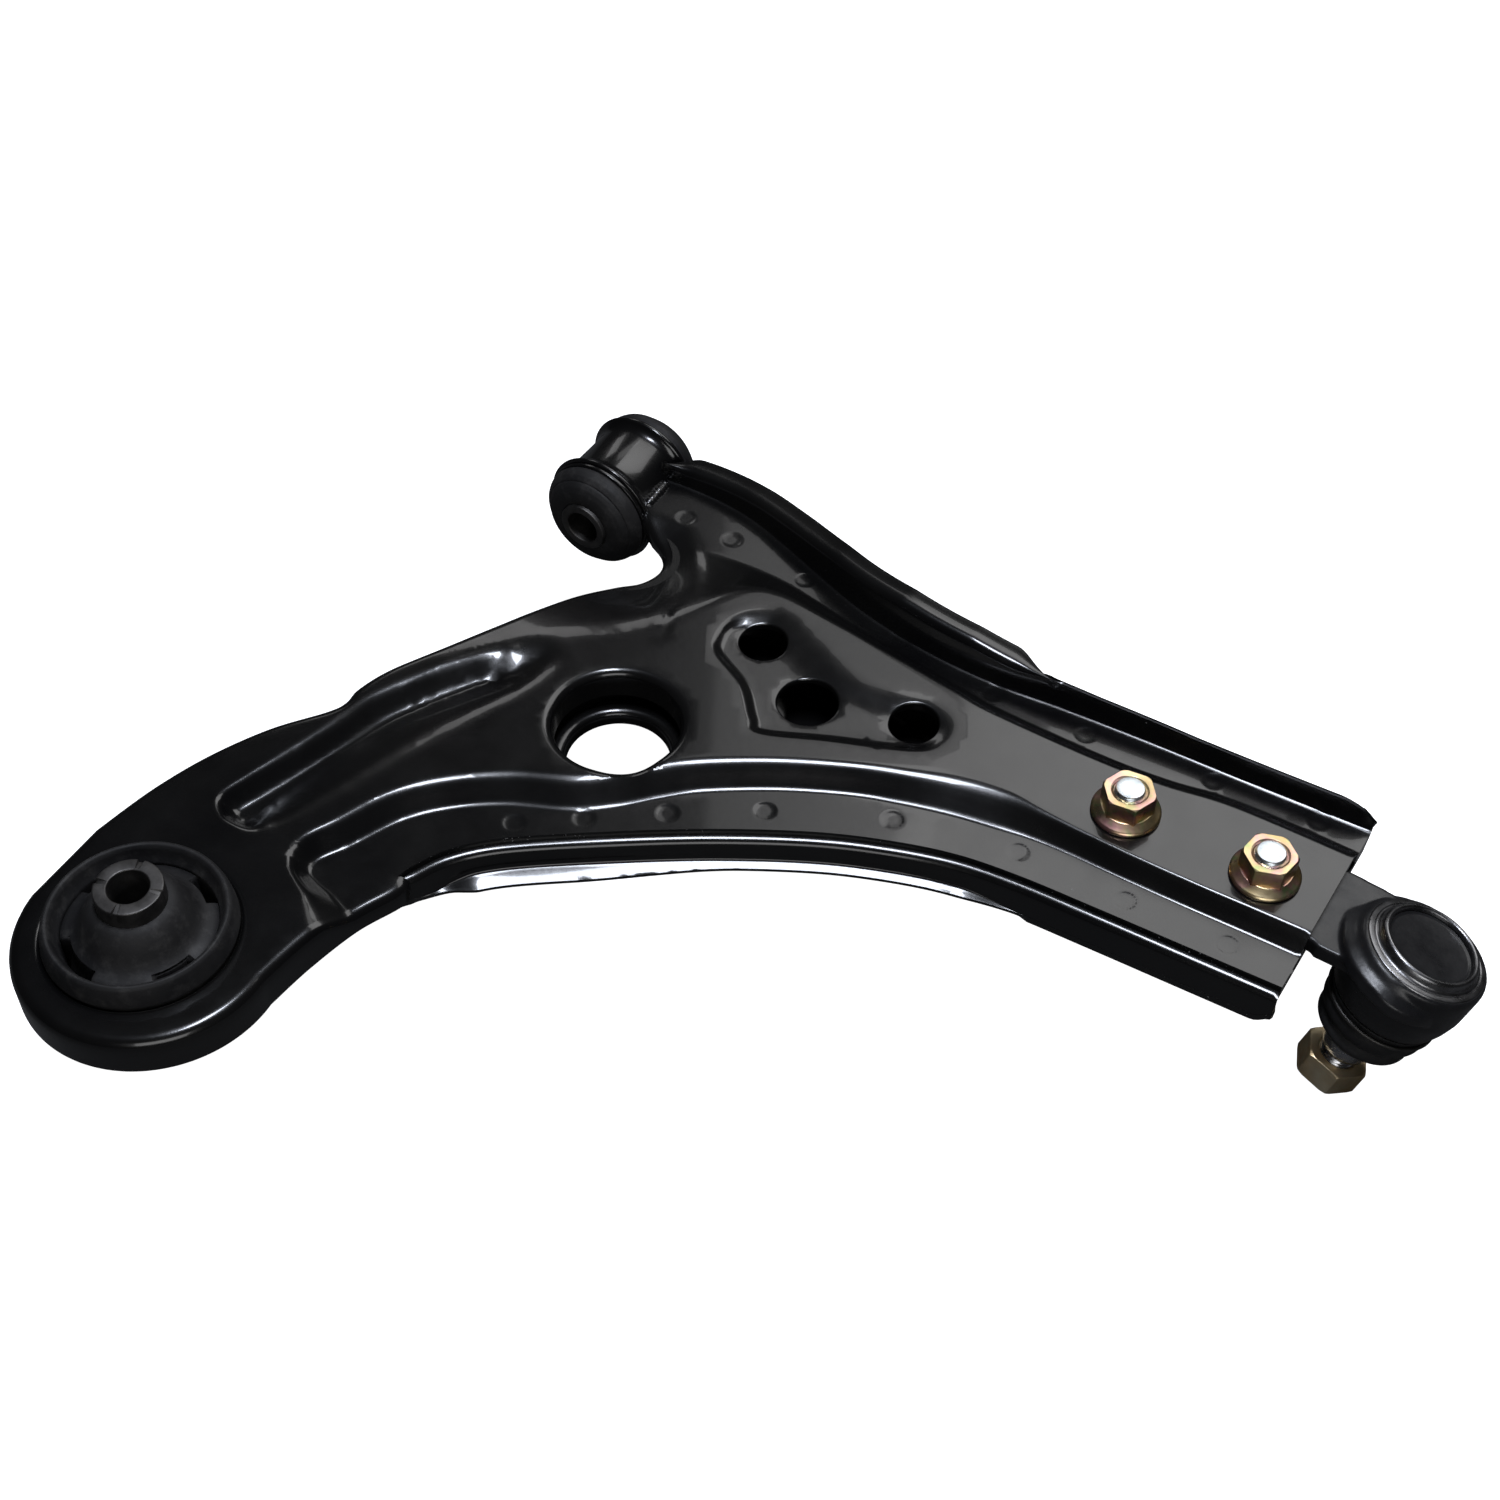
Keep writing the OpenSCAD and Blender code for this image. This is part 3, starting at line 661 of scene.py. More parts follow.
def make_upper():
    # the flat part stops where the edge bends begin
    chain = [
        beside(front_edge[::-1], 1.6),
        beside(inner_edge[::-1], BEND_R + 0.1),
        beside(rear_end[::-1], BEND_R + 0.1),
        beside(rear_flank, BEND_R),
        rear_edge,
    ]
    outline, marks = joined(chain, 1.3)
    holes = [arc(BIG_HOLE, 20.5 + BIG_HOLE_BEND, 360, 0, 132)[:-1],
             arc(REAR, 28 + 2.6, 360, 0, 150)[:-1]]
    holes += [arc(c, r + 0.7, 360, 0, 56)[:-1] for c, r in PAD_HOLES]
    rows = [arc(c, r, 0, 360, max(6, int(r * 6)))[:-1]
            for c in SPOT_WELDS for r in (0.01, 1.5, 2.8, 3.25, 3.7, 4.5)]
    rows += offset_rows(resample(RAISED, 1.7, True), True, [
        -1.4, -0.7, 0.0, 0.7, 1.4, lambda w: 0.5 * w, lambda w: 0.72 * w, lambda w: 0.86 * w,
        lambda w: w, lambda w: 1.14 * w, lambda w: 1.28 * w, lambda w: 1.5 * w])
    rows += offset_rows(PAD, True, [lambda w, k=k: k * w for k in
                                    (-0.4, 0.0, 0.4, 0.8, 1.2, 1.55)])
    rows += offset_rows(GROOVE, True, [lambda w, k=k: k * w for k in
                                       (-0.3, -0.1, 0.1, 0.3, 0.55, 0.8, 1.0, 1.2)])
    fine = np.array([[x + 0.9 * (j % 2), y] for j, y in enumerate(np.arange(-204, -87, 1.56))
                     for x in np.arange(-16, 40, 1.8)])
    rows += offset_rows(ROLL, False, [-6, -8, -10, -12, -14, -16, -18, -20, -22, -24, -27])
    skin = Skin([outline] + holes, rows, upper_height, fill=fine[inside(fine, GROOVE)])

    def rim_bottom(p):
        # the rim ends in a slanting cut beside the brim of the concave edge
        rise = smoothstep(-190.5, -185, p[:, 1]) * (p[:, 0] > 40)
        return RIM_Z + 5.5 * rise

    skin.strip(0, turned_down(BEND_R, rim_bottom), marks[1][0], marks[3][1])

    def small_curl(p, z):
        rows = []
        for a in (12, 24, 36, 48):
            a = math.radians(a)
            rows.append((2.6 * math.sin(a), z + 2.6 * (1 - math.cos(a))))
        return rows

    skin.strip(0, small_curl, marks[0][0], marks[0][1] - 2)
    skin.strip(1, turned_down(BIG_HOLE_BEND, 3.6))
    skin.strip(2, turned_down(2.6, -5.0))
    for k in range(3):
        skin.strip(3 + k, turned_down(0.7, 10.4, steps=3))
    return solid_sheet("top_sheet", skin)


# --- lower sheet -----------------------------------------------------------------------
def wall_top(x):
    """Height of the wall's top over X: low at the box end, tall at the waist."""
    xs = [14, 22, 50, 90, 122, 150, 172, 196, 230, 278, 284, 288]
    zs = [7.0, 7.0, 9.0, 13, 15, 14, 11, 9.5, 8.5, 8.5, 7.0, 3.5]
    return LEDGE_Z + np.interp(x, xs, zs)


def make_lower():
    bend = beside(np.vstack([[[43.5, -191.5], [45.8, -187.8]], rear_edge]), -3.0)
    chain = [
        beside(front_edge[::-1], 4.2),
        np.array([[17, -2], [17.5, -9.0]]),
        beside(smooth([[34.5, -38.5], [36, -32], [33, -26], [26, -20.5], [20, -15]])[::-1], 4.5),
        smooth([[31, -52], [17, -82], [5, -112], [-4, -144], [-20, -180], [-28, -206]]),
        arc(REAR, 33, 112, 42, 24),
        np.array([[36, -214], [39, -204], [41.5, -196]]),
        beside(bend, 2.6),
    ]
    outline, marks = joined(chain, 1.5)
    holes = [arc(BIG_HOLE, LOW_HOLE_R + 2.5, 360, 0, 110)[:-1]]
    holes += [arc(c, 7, 360, 0, 44)[:-1] for c in ([150, -62], [36, -140])]
    pan = np.column_stack([PAN, np.full(len(PAN), 5.5)])
    rows = offset_rows(pan, True, [-1.6, -0.6, 0.5, 1.6, 2.7, 3.9, 5.0, 6.0, 7.1])
    rows += [arc(BIG_HOLE, r, 0, 360, int(r * 5))[:-1] for r in (21, 22.5, 24, 25.5, 27, 28.4)]
    skin = Skin([outline] + holes, rows, lower_height, 4.2, 1.9)

    def wall(p, z):
        top = wall_top(p[:, 0])
        rows = [(4.0 * math.sin(a), z + 4.0 * (1 - math.cos(a)))
                for a in np.radians([15, 30, 45, 60, 75, 88])]
        reach, foot = rows[-1]
        lip = smoothstep(181, 164, p[:, 0]) * smoothstep(15, 26, p[:, 0])
        start = top - SHEET_T * lip * 1.3
        for k in (0.3, 0.6, 1.0):
            rows.append((reach + 0.5 * k, foot + (start - foot) * k))
        base = reach + 0.5
        r = 3.0
        for a in np.radians([25, 50, 75]):
            rows.append((base + lip * r * (1 - math.cos(a)) + 0.02,
                         start + r * math.sin(a) * lip * 0.95 + 0.02))
        width = 9.0 * lip
        for k in (0.3, 0.65, 1.0):
            rows.append((base + lip * r * 0.74 + (width - lip * r * 0.74) * k,
                         start + r * 0.93 * lip + 0.06 - 0.9 * k * k * lip))
        return rows

    skin.strip(0, wall, marks[0][0], marks[0][1])

    def brim(p, z):
        bottom = WEB_Z - 10.0
        x = p[:, 0]
        r = 2.9
        rows = [(r * math.sin(a), z - r * (1 - math.cos(a)))
                for a in np.radians([18, 36, 54, 72, 86])]
        reach, foot = rows[-1]
        lip = smoothstep(208, 186, x) * smoothstep(48, 58, x)
        wide = 1 - 0.68 * smoothstep(80, 125, x)
        corner = 3.5 * smoothstep(281, 288, x) ** 2 + 3.0 * smoothstep(53, 46, x) ** 2
        lip_z = bottom + 3.1
        end = lip_z * lip + (bottom + corner) * (1 - lip)
        for k in (0.33, 0.66, 1.0):
            rows.append((reach + 0.5 * k, foot + (end - foot) * k))
        base = reach + 0.5
        rr = 1.8
        for a in np.radians([30, 60, 84]):
            rows.append((base + 0.05 + lip * rr * (1 - math.cos(a)),
                         end - 0.05 - lip * rr * math.sin(a) * 0.5))
        for k in (0.5, 1.0):
            rows.append((base + 0.1 + lip * (rr + 3.4 * wide * k),
                         end - 0.1 - lip * (0.95 + 1.25 * wide * k)))
        return rows

    skin.strip(0, brim, marks[6][0], marks[6][1])
    skin.strip(1, turned_down(2.5, -6.5))
    return solid_sheet("bottom_sheet", skin)


# --- turned and hexagonal pieces -------------------------------------------------------
def rounded(profile, r, closed=True, steps=3):
    """Corners of a profile replaced by short curves."""
    p = [np.array(q, float) for q in profile]
    n = len(p)
    out = []
    for i in range(n):
        a, b, c = p[i - 1], p[i], p[(i + 1) % n]
        if not closed and i in (0, n - 1):
            out.append(b)
            continue
        la, lc = np.linalg.norm(a - b), np.linalg.norm(c - b)
        u, w = (a - b) / max(la, 1e-9), (c - b) / max(lc, 1e-9)
        if np.dot(u, w) < -0.97:
            out.append(b)
            continue
        t = min(r, 0.42 * la, 0.42 * lc)
        s, e = b + u * t, b + w * t
        for k in range(steps + 1):
            f = k / steps
            out.append((1 - f) ** 2 * s + 2 * f * (1 - f) * b + f * f * e)
    return out


def lathe(name, profile, mats, matrix=None, segments=96, closed=True, shape=None, sharp=35):
    """A turned piece from a profile of (radius, height). shape(r, z, angle) may move a point."""
    prof = [tuple(q) for q in profile]
    verts, rings = [], []
    for r, z in prof:
        if r < 1e-4:
            rings.append([len(verts)] * segments)
            verts.append((0.0, 0.0, z))
            continue
        ring = []
        for s in range(segments):
            a = 2 * math.pi * s / segments
            rr, zz = shape(r, z, a) if shape else (r, z)
            ring.append(len(verts))
            verts.append((rr * math.cos(a), rr * math.sin(a), zz))
        rings.append(ring)
    faces = []
    pairs = list(zip(rings, rings[1:]))
    if closed:
        pairs.append((rings[-1], rings[0]))
    for a, b in pairs:
        for f in band(a, b):
            f = [v for i, v in enumerate(f) if v not in f[:i]]
            if len(f) > 2:
                faces.append(tuple(f))
    obj = mesh_object(name, verts, faces, mats, matrix, sharp=sharp)
    area = sum((r1 - r0) * (z0 + z1) for (r0, z0), (r1, z1)
               in zip(prof, prof[1:] + prof[:1] if closed else prof[1:]))
    if area < 0:
        obj.data.flip_normals()
    return obj


def hexagon(angle, across, turn):
    """Radius of a hexagon of that width across flats at an angle."""
    a = (angle - turn) % (math.pi / 3) - math.pi / 6
    return across / 2 / math.cos(a)


def hex_nut(name, across, z0, z1, bore, mats, matrix, turn, low_chamfer=True, segments=144):
    """A hexagon with chamfered corners and a countersunk bore."""
    flat = across / 2 + 0.45
    verts, faces = [], []
    steep = math.tan(math.radians(30))
    sink = 1.1
    for s in range(segments):
        a = 2 * math.pi * s / segments
        big = hexagon(a, across, turn)
        face = min(flat, big - 0.12)
        cut = (big - face) * steep
        low = cut if low_chamfer else 0.05
        prof = [(bore, z0 + sink), (bore + sink, z0), (face if low_chamfer else big - 0.1, z0),
                (big, z0 + low), (big, z0 + low + 0.25 * (z1 - z0 - low - cut)),
                (big, z1 - cut - 0.25 * (z1 - z0 - low - cut)), (big, z1 - cut),
                (face, z1), (bore + sink, z1), (bore, z1 - sink)]
        for r, z in prof:
            verts.append((r * math.cos(a), r * math.sin(a), z))
    rings = [range(i, len(verts), len(prof)) for i in range(len(prof))]
    for a, b in zip(rings, rings[1:] + rings[:1]):
        faces += band(a, b)
    return mesh_object(name, verts, faces, mats, matrix, sharp=24, bevel=0.16)


def threaded(name, r, z0, z1, pitch, mats, matrix, depth, segments=72, dome=0.8):
    """A threaded rod end with a chamfered, slightly domed tip at z1."""
    rows = int((z1 - z0) / pitch * 8)
    verts, faces = [], []
    for k in range(rows + 1):
        for s in range(segments):
            turn = s / segments
            z = z0 + (z1 - z0) * k / rows
            phase = ((z - z0) / pitch - turn) % 1.0
            cut = depth * (1 - abs(2 * phase - 1)) * (1 - smoothstep(z1 - pitch * 1.2, z1, z))
            tip = dome * smoothstep(z1 - 1.2, z1, z)
            rr = r - cut - tip
            a = 2 * math.pi * turn
            verts.append((rr * math.cos(a), rr * math.sin(a), z))
    for share, rise in ((0.8, 0.132), (0.5, 0.192), (0.2, 0.216)):
        for s in range(segments):
            a = 2 * math.pi * s / segments
            rr = (r - dome) * share
            verts.append((rr * math.cos(a), rr * math.sin(a), z1 + rise))
    rings = [range(k, k + segments) for k in range(0, len(verts), segments)]
    for a, b in zip(rings, rings[1:]):
        faces += band(a, b)
    faces.append(tuple(rings[-1]))
    faces.append(tuple(reversed(rings[0])))
    return mesh_object(name, verts, faces, mats, matrix, sharp=40)


def at(x, y, z=0.0):
    return Matrix.Translation(Vector((x, y, z)) * MM)


ALONG_Y = Matrix.Rotation(math.radians(-90), 4, "X")


def ride(obj, body, slot, *nodes):
    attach(obj, body)
    if nodes:
        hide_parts(*nodes)
    return obj


def turned(name, profile, corner, mat, matrix, segments, body, slot, *nodes, shape=None,
           closed=True):
    """A turned piece with rounded corners that rides on a body."""
    obj = lathe(name, rounded(profile, corner, closed), [mat], matrix, segments, closed, shape)
    return ride(obj, body, slot, *nodes)


ride(make_upper(), "arm", "black_coat", "upper_stamping")
ride(make_lower(), "arm", "black_coat", "lower_stamping")

# --- front bush ------------------------------------------------------------------------
HALF = 14.0


def make_front_bush():
    lip = [(15.7, -HALF), (20.9, -HALF), (20.9, -HALF + 1.6), (19.6, -HALF + 2.4),
           (18.6, -HALF + 3.8), (18.2, -HALF + 5.4)]
    profile = lip + [(r, -z) for r, z in reversed(lip)]
    turned("front_eye_tube", profile, 0.7, COAT, ALONG_Y, 112, "arm", "black_coat", "front_eye")
    flange = [(14.4, -15.6), (19.9, -15.6), (19.9, -14.05), (15.6, -14.05), (15.6, 14), (14.4, 14)]
    turned("front_outer_sleeve", flange, 0.4, COAT, ALONG_Y, 112, "arm", "black_coat",
           "front_bush_outer_sleeve")
    side = [(19.0, 15.6), (19.5, 16.6), (19.3, 18.0), (18.6, 19.6), (17.2, 21.0), (16.8, 21.0),
            (16.6, 21.6), (15.4, 22.8), (13.6, 23.7), (11.6, 24.1), (9.05, 24.2)]
    profile = [(r, -z) for r, z in reversed(side)] + [(14.3, -15.6), (14.3, 14.1), (19.0, 14.1)] + side
    turned("front_rubber", profile, 0.35, RUBBER, ALONG_Y, 96, "arm", "rubber",
           "front_bush_rubber")
    tube = [(6.1, -25.5), (9.0, -25.5), (9.0, 25.5), (6.1, 25.5)]
    turned("front_inner_sleeve", tube, 0.55, PHOSPHATE, ALONG_Y, 96, "front_sleeve",
           "phosphate_steel", "front_bush_inner_sleeve")


make_front_bush()


def weld_bead(name, path, radius):
    """A rippled bead along a path, half sunk in the metal."""
    path = resample(smooth(path), 0.45)
    verts, faces, sides = [], [], 10
    n = len(path)
    t = tangents(path, False)
    for i, (p, d) in enumerate(zip(path, t)):
        ripple = 1 + 0.10 * math.sin(i * 1.9) + 0.07 * math.sin(i * 0.53 + 1)
        r = radius * ripple * min(1, 0.25 + min(i, n - 1 - i) / 6)
        side = Vector(d).cross(Vector((0, 0, 1))).normalized()
        top = side.cross(Vector(d)).normalized()
        for k in range(sides):
            a = 2 * math.pi * k / sides
            verts.append(tuple(Vector(p) + side * (r * math.cos(a)) + top * (0.8 * r * math.sin(a))))
    rings = [range(i * sides, (i + 1) * sides) for i in range(n)]
    for a, b in zip(rings, rings[1:]):
        faces += band(a, b)
    faces.append(tuple(reversed(rings[0])))
    faces.append(tuple(rings[-1]))
    ride(mesh_object(name, verts, faces, [COAT], sharp=0), "arm", "black_coat")


weld_bead("eye_weld_top", [[16.6, 3.6, 8.0], [17.0, -3.0, 7.8], [17.3, -11.5, 7.4]], 2.4)
weld_bead("eye_weld_under", [[17.0, 9.0, 2.0], [17.6, 0.0, 1.6], [17.8, -11.0, 1.4]], 1.8)


# --- rear bush -------------------------------------------------------------------------
def slots(angle):
    """How open the kidney voids are at an angle, from 0 to 1."""
    best = 0.0
    for middle, half in ((70, 15), (160, 19), (250, 24), (340, 17)):
        away = abs((math.degrees(angle) - middle + 180) % 360 - 180)
        best = max(best, float(1 - smoothstep(half - 2.2, half + 1.0, away)))
    return best


def make_rear_bush():
    place = at(REAR[0], REAR[1])

    def on_axis(z):
        return Vector((REAR[0], REAR[1], z)) * MM

    steel = [(26.5, -10), (27.95, -10), (27.95, 13.9), (26.5, 13.9)]
    turned("rear_outer_sleeve", steel, 0.4, PHOSPHATE, place, 128, "arm", "phosphate_steel",
           "rear_bush_outer_sleeve")

    # outer rim with the valley floor, which stays with the arm
    rim = [(26.45, -8), (26.45, 14.05), (28.5, 14.05), (28.7, 14.8), (28.1, 18.5), (27.3, 21.0),
           (26.4, 21.9), (25.5, 21.7), (24.8, 20.6), (24.3, 18.6), (23.6, 17.2), (23.0, 16.2),
           (22.9, 12.0), (22.9, 4.0), (22.9, -6), (23.4, -8)]
    turned("rear_rubber_rim", rim, 0.4, RUBBER, place, 144, "arm", "rubber", "rear_bush_rubber")

    def voids(r, z, a):
        open_ = slots(a)
        if z > 2 and r > 17.5:
            pull = open_ * smoothstep(18.5, 21.0, r)
            return r - 3.0 * pull * (z < 16.8), z
        return r, z

    cone = [(22.9, 1.0), (22.9, 12.0), (22.9, 14.6), (22.7, 15.6), (22.0, 16.2), (21.0, 16.5),
            (19.6, 16.9), (18.4, 17.6), (17.4, 18.7), (16.6, 20.2), (15.9, 21.8), (15.2, 23.2),
            (14.4, 24.6), (13.4, 26.0), (12.4, 27.0), (11.3, 27.6), (10.25, 27.8), (10.25, 22.0),
            (10.25, 12.0), (10.25, 1.0)]
    top = lathe("rear_rubber_cone", cone, [RUBBER], place, 180, shape=voids)
    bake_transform(top)
    under = [(22.9, 0.8), (10.25, 0.8), (10.25, -6.0), (10.25, -14.0), (12.5, -14.0),
             (14.5, -12.6), (17.0, -9.6), (20.0, -7.6), (22.9, -7.0), (22.9, -3.0)]
    low = lathe("rear_rubber_foot", rounded(under, 0.5), [RUBBER], place, 128)
    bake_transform(low)

    def notched(r, z, a):
        if z > 32 and r > 8.6:
            for middle in (20, 110, 200, 290):
                away = abs((math.degrees(a) - middle + 180) % 360 - 180)
                if away < 5:
                    return r - 0.4 * (r > 9.5), z - 0.6
        return r, z

    tube = [(6.1, -24), (10.2, -24), (10.2, 30), (10.2, 34), (6.1, 34)]
    turned("rear_inner_sleeve", tube, 0.5, PHOSPHATE, place, 180, "rear_sleeve",
           "phosphate_steel", "rear_bush_inner_sleeve", shape=notched)


make_rear_bush()


# --- ball joint ------------------------------------------------------------------------
def extruded(outline, z0, z1):
    n = len(outline)
    verts = [(x, y, z0) for x, y in outline] + [(x, y, z1) for x, y in outline]
    low, high = range(n), range(n, 2 * n)
    return verts, [tuple(reversed(low)), tuple(high)] + band(low, high)


def make_housing():
    body = lathe("forging", rounded(
        [(0, -12.9), (15.4, -12.9), (15.6, -10.2), (17.9, -9.6), (19.4, -5), (20.3, 0),
         (20.3, 10.6), (20.1, 12.2), (19.4, 13.0), (0, 13.0)], 0.5, closed=False), [FORGED],
        STUD_FRAME, 96, closed=False)
    near = smooth([[260, -64.5], [286, -64.7], [292, -66.2], [304, -66.6]])
    far = smooth([[304, -35.5], [292, -34.5], [262, -33], [234, -34.5]])
    plan = np.vstack([arc([210, -52], 12.5, 90, 270, 16), near, far])
    verts, faces = extruded([tuple(q) for q in plan], WEB_Z, TOP_Z - SHEET_T)
    tail = mesh_object("tail_part", verts, faces, [FORGED])
    # collar of metal where the tail meets the body
    flare = lathe("flare_part", [(0, 3.0), (25.0, 4.5), (24.6, 8.4), (21.6, 10.4), (20.0, 12.6),
                                 (0, 12.6)], [FORGED], STUD_FRAME, 72, closed=False)
    keep = np.array([v.co for v in flare.data.vertices])
    keep[:, 0] = np.where(keep[:, 0] > 0.312, 0.312 + (keep[:, 0] - 0.312) * 0.72, keep[:, 0])
    flare.data.vertices.foreach_set("co", keep.ravel())
    bpy.ops.object.select_all(action="DESELECT")
    for o in (body, tail, flare):
        o.select_set(True)
    bpy.context.view_layer.objects.active = body
    bpy.ops.object.join()
    m = body.modifiers.new("weld", "REMESH")
    m.mode = "VOXEL"
    m.voxel_size = 0.55 * MM
    s = body.modifiers.new("soften", "SMOOTH")
    s.factor = 0.5
    s.iterations = 7
    settle(body, 0)
    body.name = "housing_forging"
    ride(body, "arm", "forged_steel", "ball_joint_housing")

    ring = [(15.5, 10.5), (19.2, 10.5), (19.4, 11.4), (19.2, 12.8), (18.9, 13.3), (17.4, 13.5),
            (17.1, 13.3), (16.6, 13.4), (16.0, 14.0), (15.8, 15.0), (15.4, 16.0), (14.8, 16.45),
            (14.1, 16.4), (13.6, 15.9), (13.4, 14.7), (15.5, 14.6)]
    turned("rolled_ring", ring, 0.35, TURNED, STUD_FRAME, 128, "arm", "bright_steel")
    cap = [(0, 12.7), (15.4, 12.7), (15.4, 14.55), (13.2, 14.55), (12.6, 14.2), (6, 14.1), (0, 14.1)]
    turned("housing_cap", cap, 0.3, FORGED, STUD_FRAME, 96, "arm", "forged_steel",
           "ball_joint_cap", closed=False)


make_housing()

BOOT_UPPER = [(15.6, -10.4), (15.6, -13.6), (14.5, -15), (14.5, -18.2), (14.2, -20.0),
              (14.0, -20.6), (14.7, -20.6), (15.2, -20.0), (16.3, -18.9), (17.0, -17.4),
              (17.1, -15.8), (16.7, -14.4), (16.6, -13.9), (16.8, -12.6), (16.6, -11.8),
              (17.3, -11.2), (17.3, -10.4)]
BOOT_LOWER = [(14.0, -20.6), (13.8, -21.6), (13.5, -23.0), (12.2, -24.4), (7.6, -26.2), (7.6, -29.9),
              (9.3, -29.9), (9.3, -29.4), (9.15, -28.8), (9.3, -27.6), (10.2, -26.5),
              (12.6, -25.9), (14.3, -25.3), (15.3, -24.2), (15.5, -23.0), (15.2, -21.8),
              (14.8, -21.0), (14.7, -20.6)]


def make_ball_joint():
    axis = STUD_FRAME.to_3x3() @ Vector((0, 0, 1))
    centre = BALL * MM

    def on_axis(z):
        return centre + axis * z * MM

    half = lathe("boot_upper", rounded(BOOT_UPPER, 0.5), [BOOT], STUD_FRAME, 112, sharp=60)
    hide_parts("dust_boot")
    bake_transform(half)
    half = lathe("boot_lower", rounded(BOOT_LOWER, 0.5), [BOOT], STUD_FRAME, 112, sharp=60)
    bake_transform(half)

    def wire(name, r, z, w, body, node):
        ring = [(r + w / 2 + w / 2 * math.cos(a), z + w / 2 * math.sin(a))
                for a in np.linspace(0, 2 * math.pi, 15)[:-1]]
        ride(lathe(name, ring, [PHOSPHATE], STUD_FRAME, 96), body, "phosphate_steel", node)

    wire("boot_wire_large", 16.65, -12.7, 1.4, "arm", "boot_ring_large")
    wire("boot_wire_small", 9.25, -28.7, 1.2, "boot_neck", "boot_ring_small")

    ball = [(0, 12.0)] + [(12 * math.sin(a), 12 * math.cos(a))
                          for a in np.radians(np.arange(6, 150, 6))]
    shank = [(5.75, -10.6), (5.75, -13.0), (7.5, -20.0), (7.5, -34.6), (7.2, -35.8),
             (6.0, -37.2), (0, -37.2)]
    pin = lathe("stud_pin", ball + shank, [BRIGHT], STUD_FRAME, 96, closed=False)
    ride(pin, "stud", "bright_steel", "ball_stud")
    flip = STUD_FRAME @ Matrix.Rotation(math.pi, 4, "X")
    thread = threaded("stud_thread", 6.0, 36.8, 49.7, 1.25, [BRIGHT], flip, 0.5)
    ride(thread, "stud", "bright_steel")
    nut = hex_nut("stud_hex_nut", 19, 39, 48, 5.6, [PALE], flip, math.radians(12))
    ride(nut, "stud", "yellow_zinc", "stud_nut")


make_ball_joint()


# --- clamp bolts and nuts --------------------------------------------------------------
def make_fasteners():
    for label, x, turn in (("inner", 222.0, 8.0), ("outer", 268.0, 20.0)):
        place = at(x, BALL[1])
        rod = threaded("bolt_end_" + label, 5.0, WEB_Z - SHEET_T - 1.0, TOP_Z + 11.1, 1.5, [SILVER],
                       place, 0.55)
        ride(rod, "arm", "silver_zinc", "clamp_bolt_" + label)
        head = hex_nut("bolt_head_" + label, 15, -5.5, 1.2, 1.0, [SILVER], place,
                       math.radians(turn))
        ride(head, "arm", "silver_zinc")
        washer = [(0, 1.0), (10.4, 1.0), (10.9, 1.5), (10.9, 2.6), (10.4, 3.0), (0, 3.0)]
        turned("bolt_flange_" + label, washer, 0.3, SILVER, place, 96, "arm", "silver_zinc",
               closed=False)
        flange = [(5.2, 14.02), (10.3, 14.02), (10.85, 14.35), (10.9, 15.1), (10.4, 15.7),
                  (9.2, 16.4), (8.0, 17.4), (5.2, 17.4)]
        turned("nut_flange_" + label, flange, 0.25, YELLOW, place, 112, "arm", "yellow_zinc")
        nut = hex_nut("nut_hex_" + label, 15, 16.2, 24, 4.75, [YELLOW], place, math.radians(turn),
                      low_chamfer=False)
        ride(nut, "arm", "yellow_zinc", "flange_nut_" + label)


make_fasteners()

for node, mat in (("ball_seat_lower", PLASTIC), ("ball_seat_upper", PLASTIC)):
    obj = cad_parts[node]
    obj.data.materials.clear()
    obj.data.materials.append(mat)


# --- floor, light and camera -----------------------------------------------------------
FLOOR_HALF = 6.0
FLOOR_GAP = 0.0005
FLOOR_SEEN = 0.8
FLOOR_REFLECTED = 0.08


def floor_paint():
    """White to the camera and dark grey in reflections, so that gloss black stays black."""
    mat = bpy.data.materials.new("floor")
    mat.use_nodes = True
    t = mat.node_tree
    t.nodes.clear()
    out, path, mix, grey, white, glow, add = (t.nodes.new("ShaderNode" + kind) for kind in (
        "OutputMaterial", "LightPath", "MixShader", "BsdfDiffuse", "BsdfDiffuse", "Emission",
        "AddShader"))
    grey.inputs["Color"].default_value = (FLOOR_REFLECTED,) * 3 + (1,)
    white.inputs["Color"].default_value = (FLOOR_SEEN,) * 3 + (1,)
    glow.inputs["Strength"].default_value = 1.0
    t.links.new(white.outputs[0], add.inputs[0])
    t.links.new(glow.outputs[0], add.inputs[1])
    t.links.new(path.outputs["Is Camera Ray"], mix.inputs[0])
    t.links.new(grey.outputs[0], mix.inputs[1])
    t.links.new(add.outputs[0], mix.inputs[2])
    t.links.new(mix.outputs[0], out.inputs[0])
    return mat


floor_mesh = bpy.data.meshes.new("floor")
floor_mesh.from_pydata([(x * FLOOR_HALF, y * FLOOR_HALF, cad_low.z - FLOOR_GAP)
                        for x, y in ((-1, -1), (1, -1), (1, 1), (-1, 1))], [], [(0, 1, 2, 3)])
floor_mesh.materials.append(floor_paint())
floor = bpy.data.objects.new("floor", floor_mesh)
bpy.context.scene.collection.objects.link(floor)

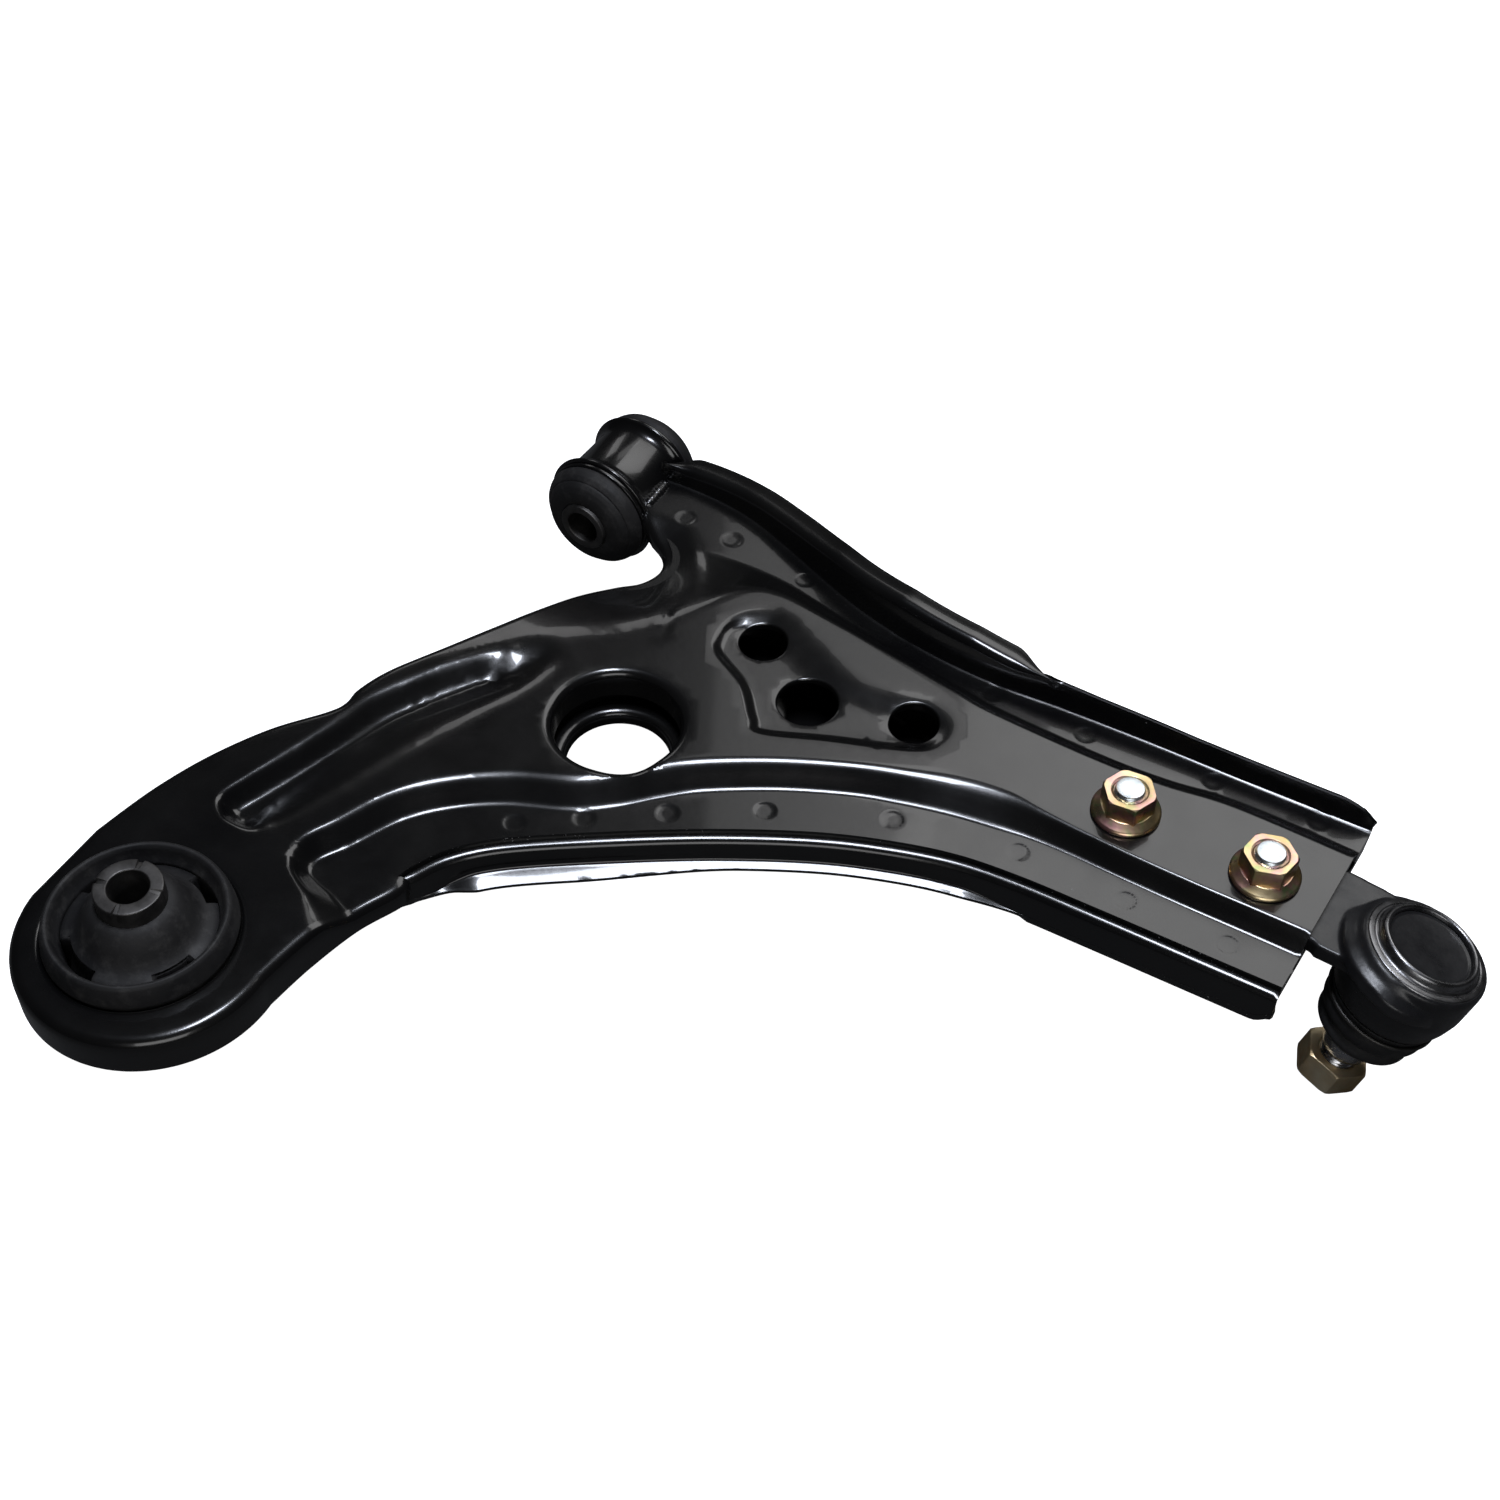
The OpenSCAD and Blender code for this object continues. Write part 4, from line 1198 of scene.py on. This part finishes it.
world = bpy.data.worlds.new("studio")
bpy.context.scene.world = world
world.use_nodes = True
nodes, links = world.node_tree.nodes, world.node_tree.links
back = nodes["Background"]
path = nodes.new("ShaderNodeLightPath")
tone = nodes.new("ShaderNodeMapRange")
tone.inputs["To Min"].default_value = 0.015
tone.inputs["To Max"].default_value = 1.0
links.new(path.outputs["Is Camera Ray"], tone.inputs["Value"])
links.new(tone.outputs["Result"], back.inputs["Strength"])
back.inputs["Color"].default_value = (1, 1, 1, 1)


def softbox(name, where, aim, size, power, colour=(1, 1, 1)):
    data = bpy.data.lights.new(name, "AREA")
    data.shape = "RECTANGLE"
    data.size, data.size_y = size
    data.energy = power
    data.color = colour
    obj = bpy.data.objects.new(name, data)
    obj.location = where
    direction = Vector(aim) - Vector(where)
    obj.rotation_mode = "QUATERNION"
    obj.rotation_quaternion = direction.to_track_quat("-Z", "Y")
    obj.visible_camera = False
    bpy.context.scene.collection.objects.link(obj)


MIDDLE = Vector((0.13, -0.11, 0.014))
softbox("key", (0.28, 1.30, 1.65), MIDDLE, (1.45, 1.0), 10.5)
softbox("key_edge", (-0.58, 1.25, 1.65), MIDDLE, (0.3, 0.8), 0.8)
softbox("overhead", (0.15, -0.10, 1.5), MIDDLE, (0.5, 0.25), 14, (0.84, 0.89, 1.0))
softbox("glow", (-1.25, 1.25, 1.05), MIDDLE, (0.5, 0.4), 1.0)
softbox("near", (0.9, -1.2, 0.7), MIDDLE, (0.9, 0.6), 4)

AWAY = Vector((-0.5158, 0.8567, 0))
RIGHT = Vector((0.8567, 0.5158, 0))
CAMERA_AT = Vector((350.1, -488.8, 532.5))
LENS = 53.23
PITCH = math.radians(48.3)
ROLLED_BY = math.radians(1.3)
camera_data = bpy.data.cameras.new("camera")
camera_data.sensor_width = 36
camera_data.lens = LENS
camera = bpy.data.objects.new("camera", camera_data)
bpy.context.scene.collection.objects.link(camera)
ahead = AWAY * math.cos(PITCH) - Vector((0, 0, math.sin(PITCH)))
side = RIGHT.normalized()
up = side.cross(ahead).normalized()
cos, sin = math.cos(ROLLED_BY), math.sin(ROLLED_BY)
side, up = side * cos + up * sin, up * cos - side * sin
aim = Matrix((side, up, -ahead.normalized())).transposed().to_4x4()
camera.matrix_world = Matrix.Translation(CAMERA_AT * MM) @ aim
bpy.context.scene.camera = camera
bpy.context.scene.view_settings.view_transform = "Standard"
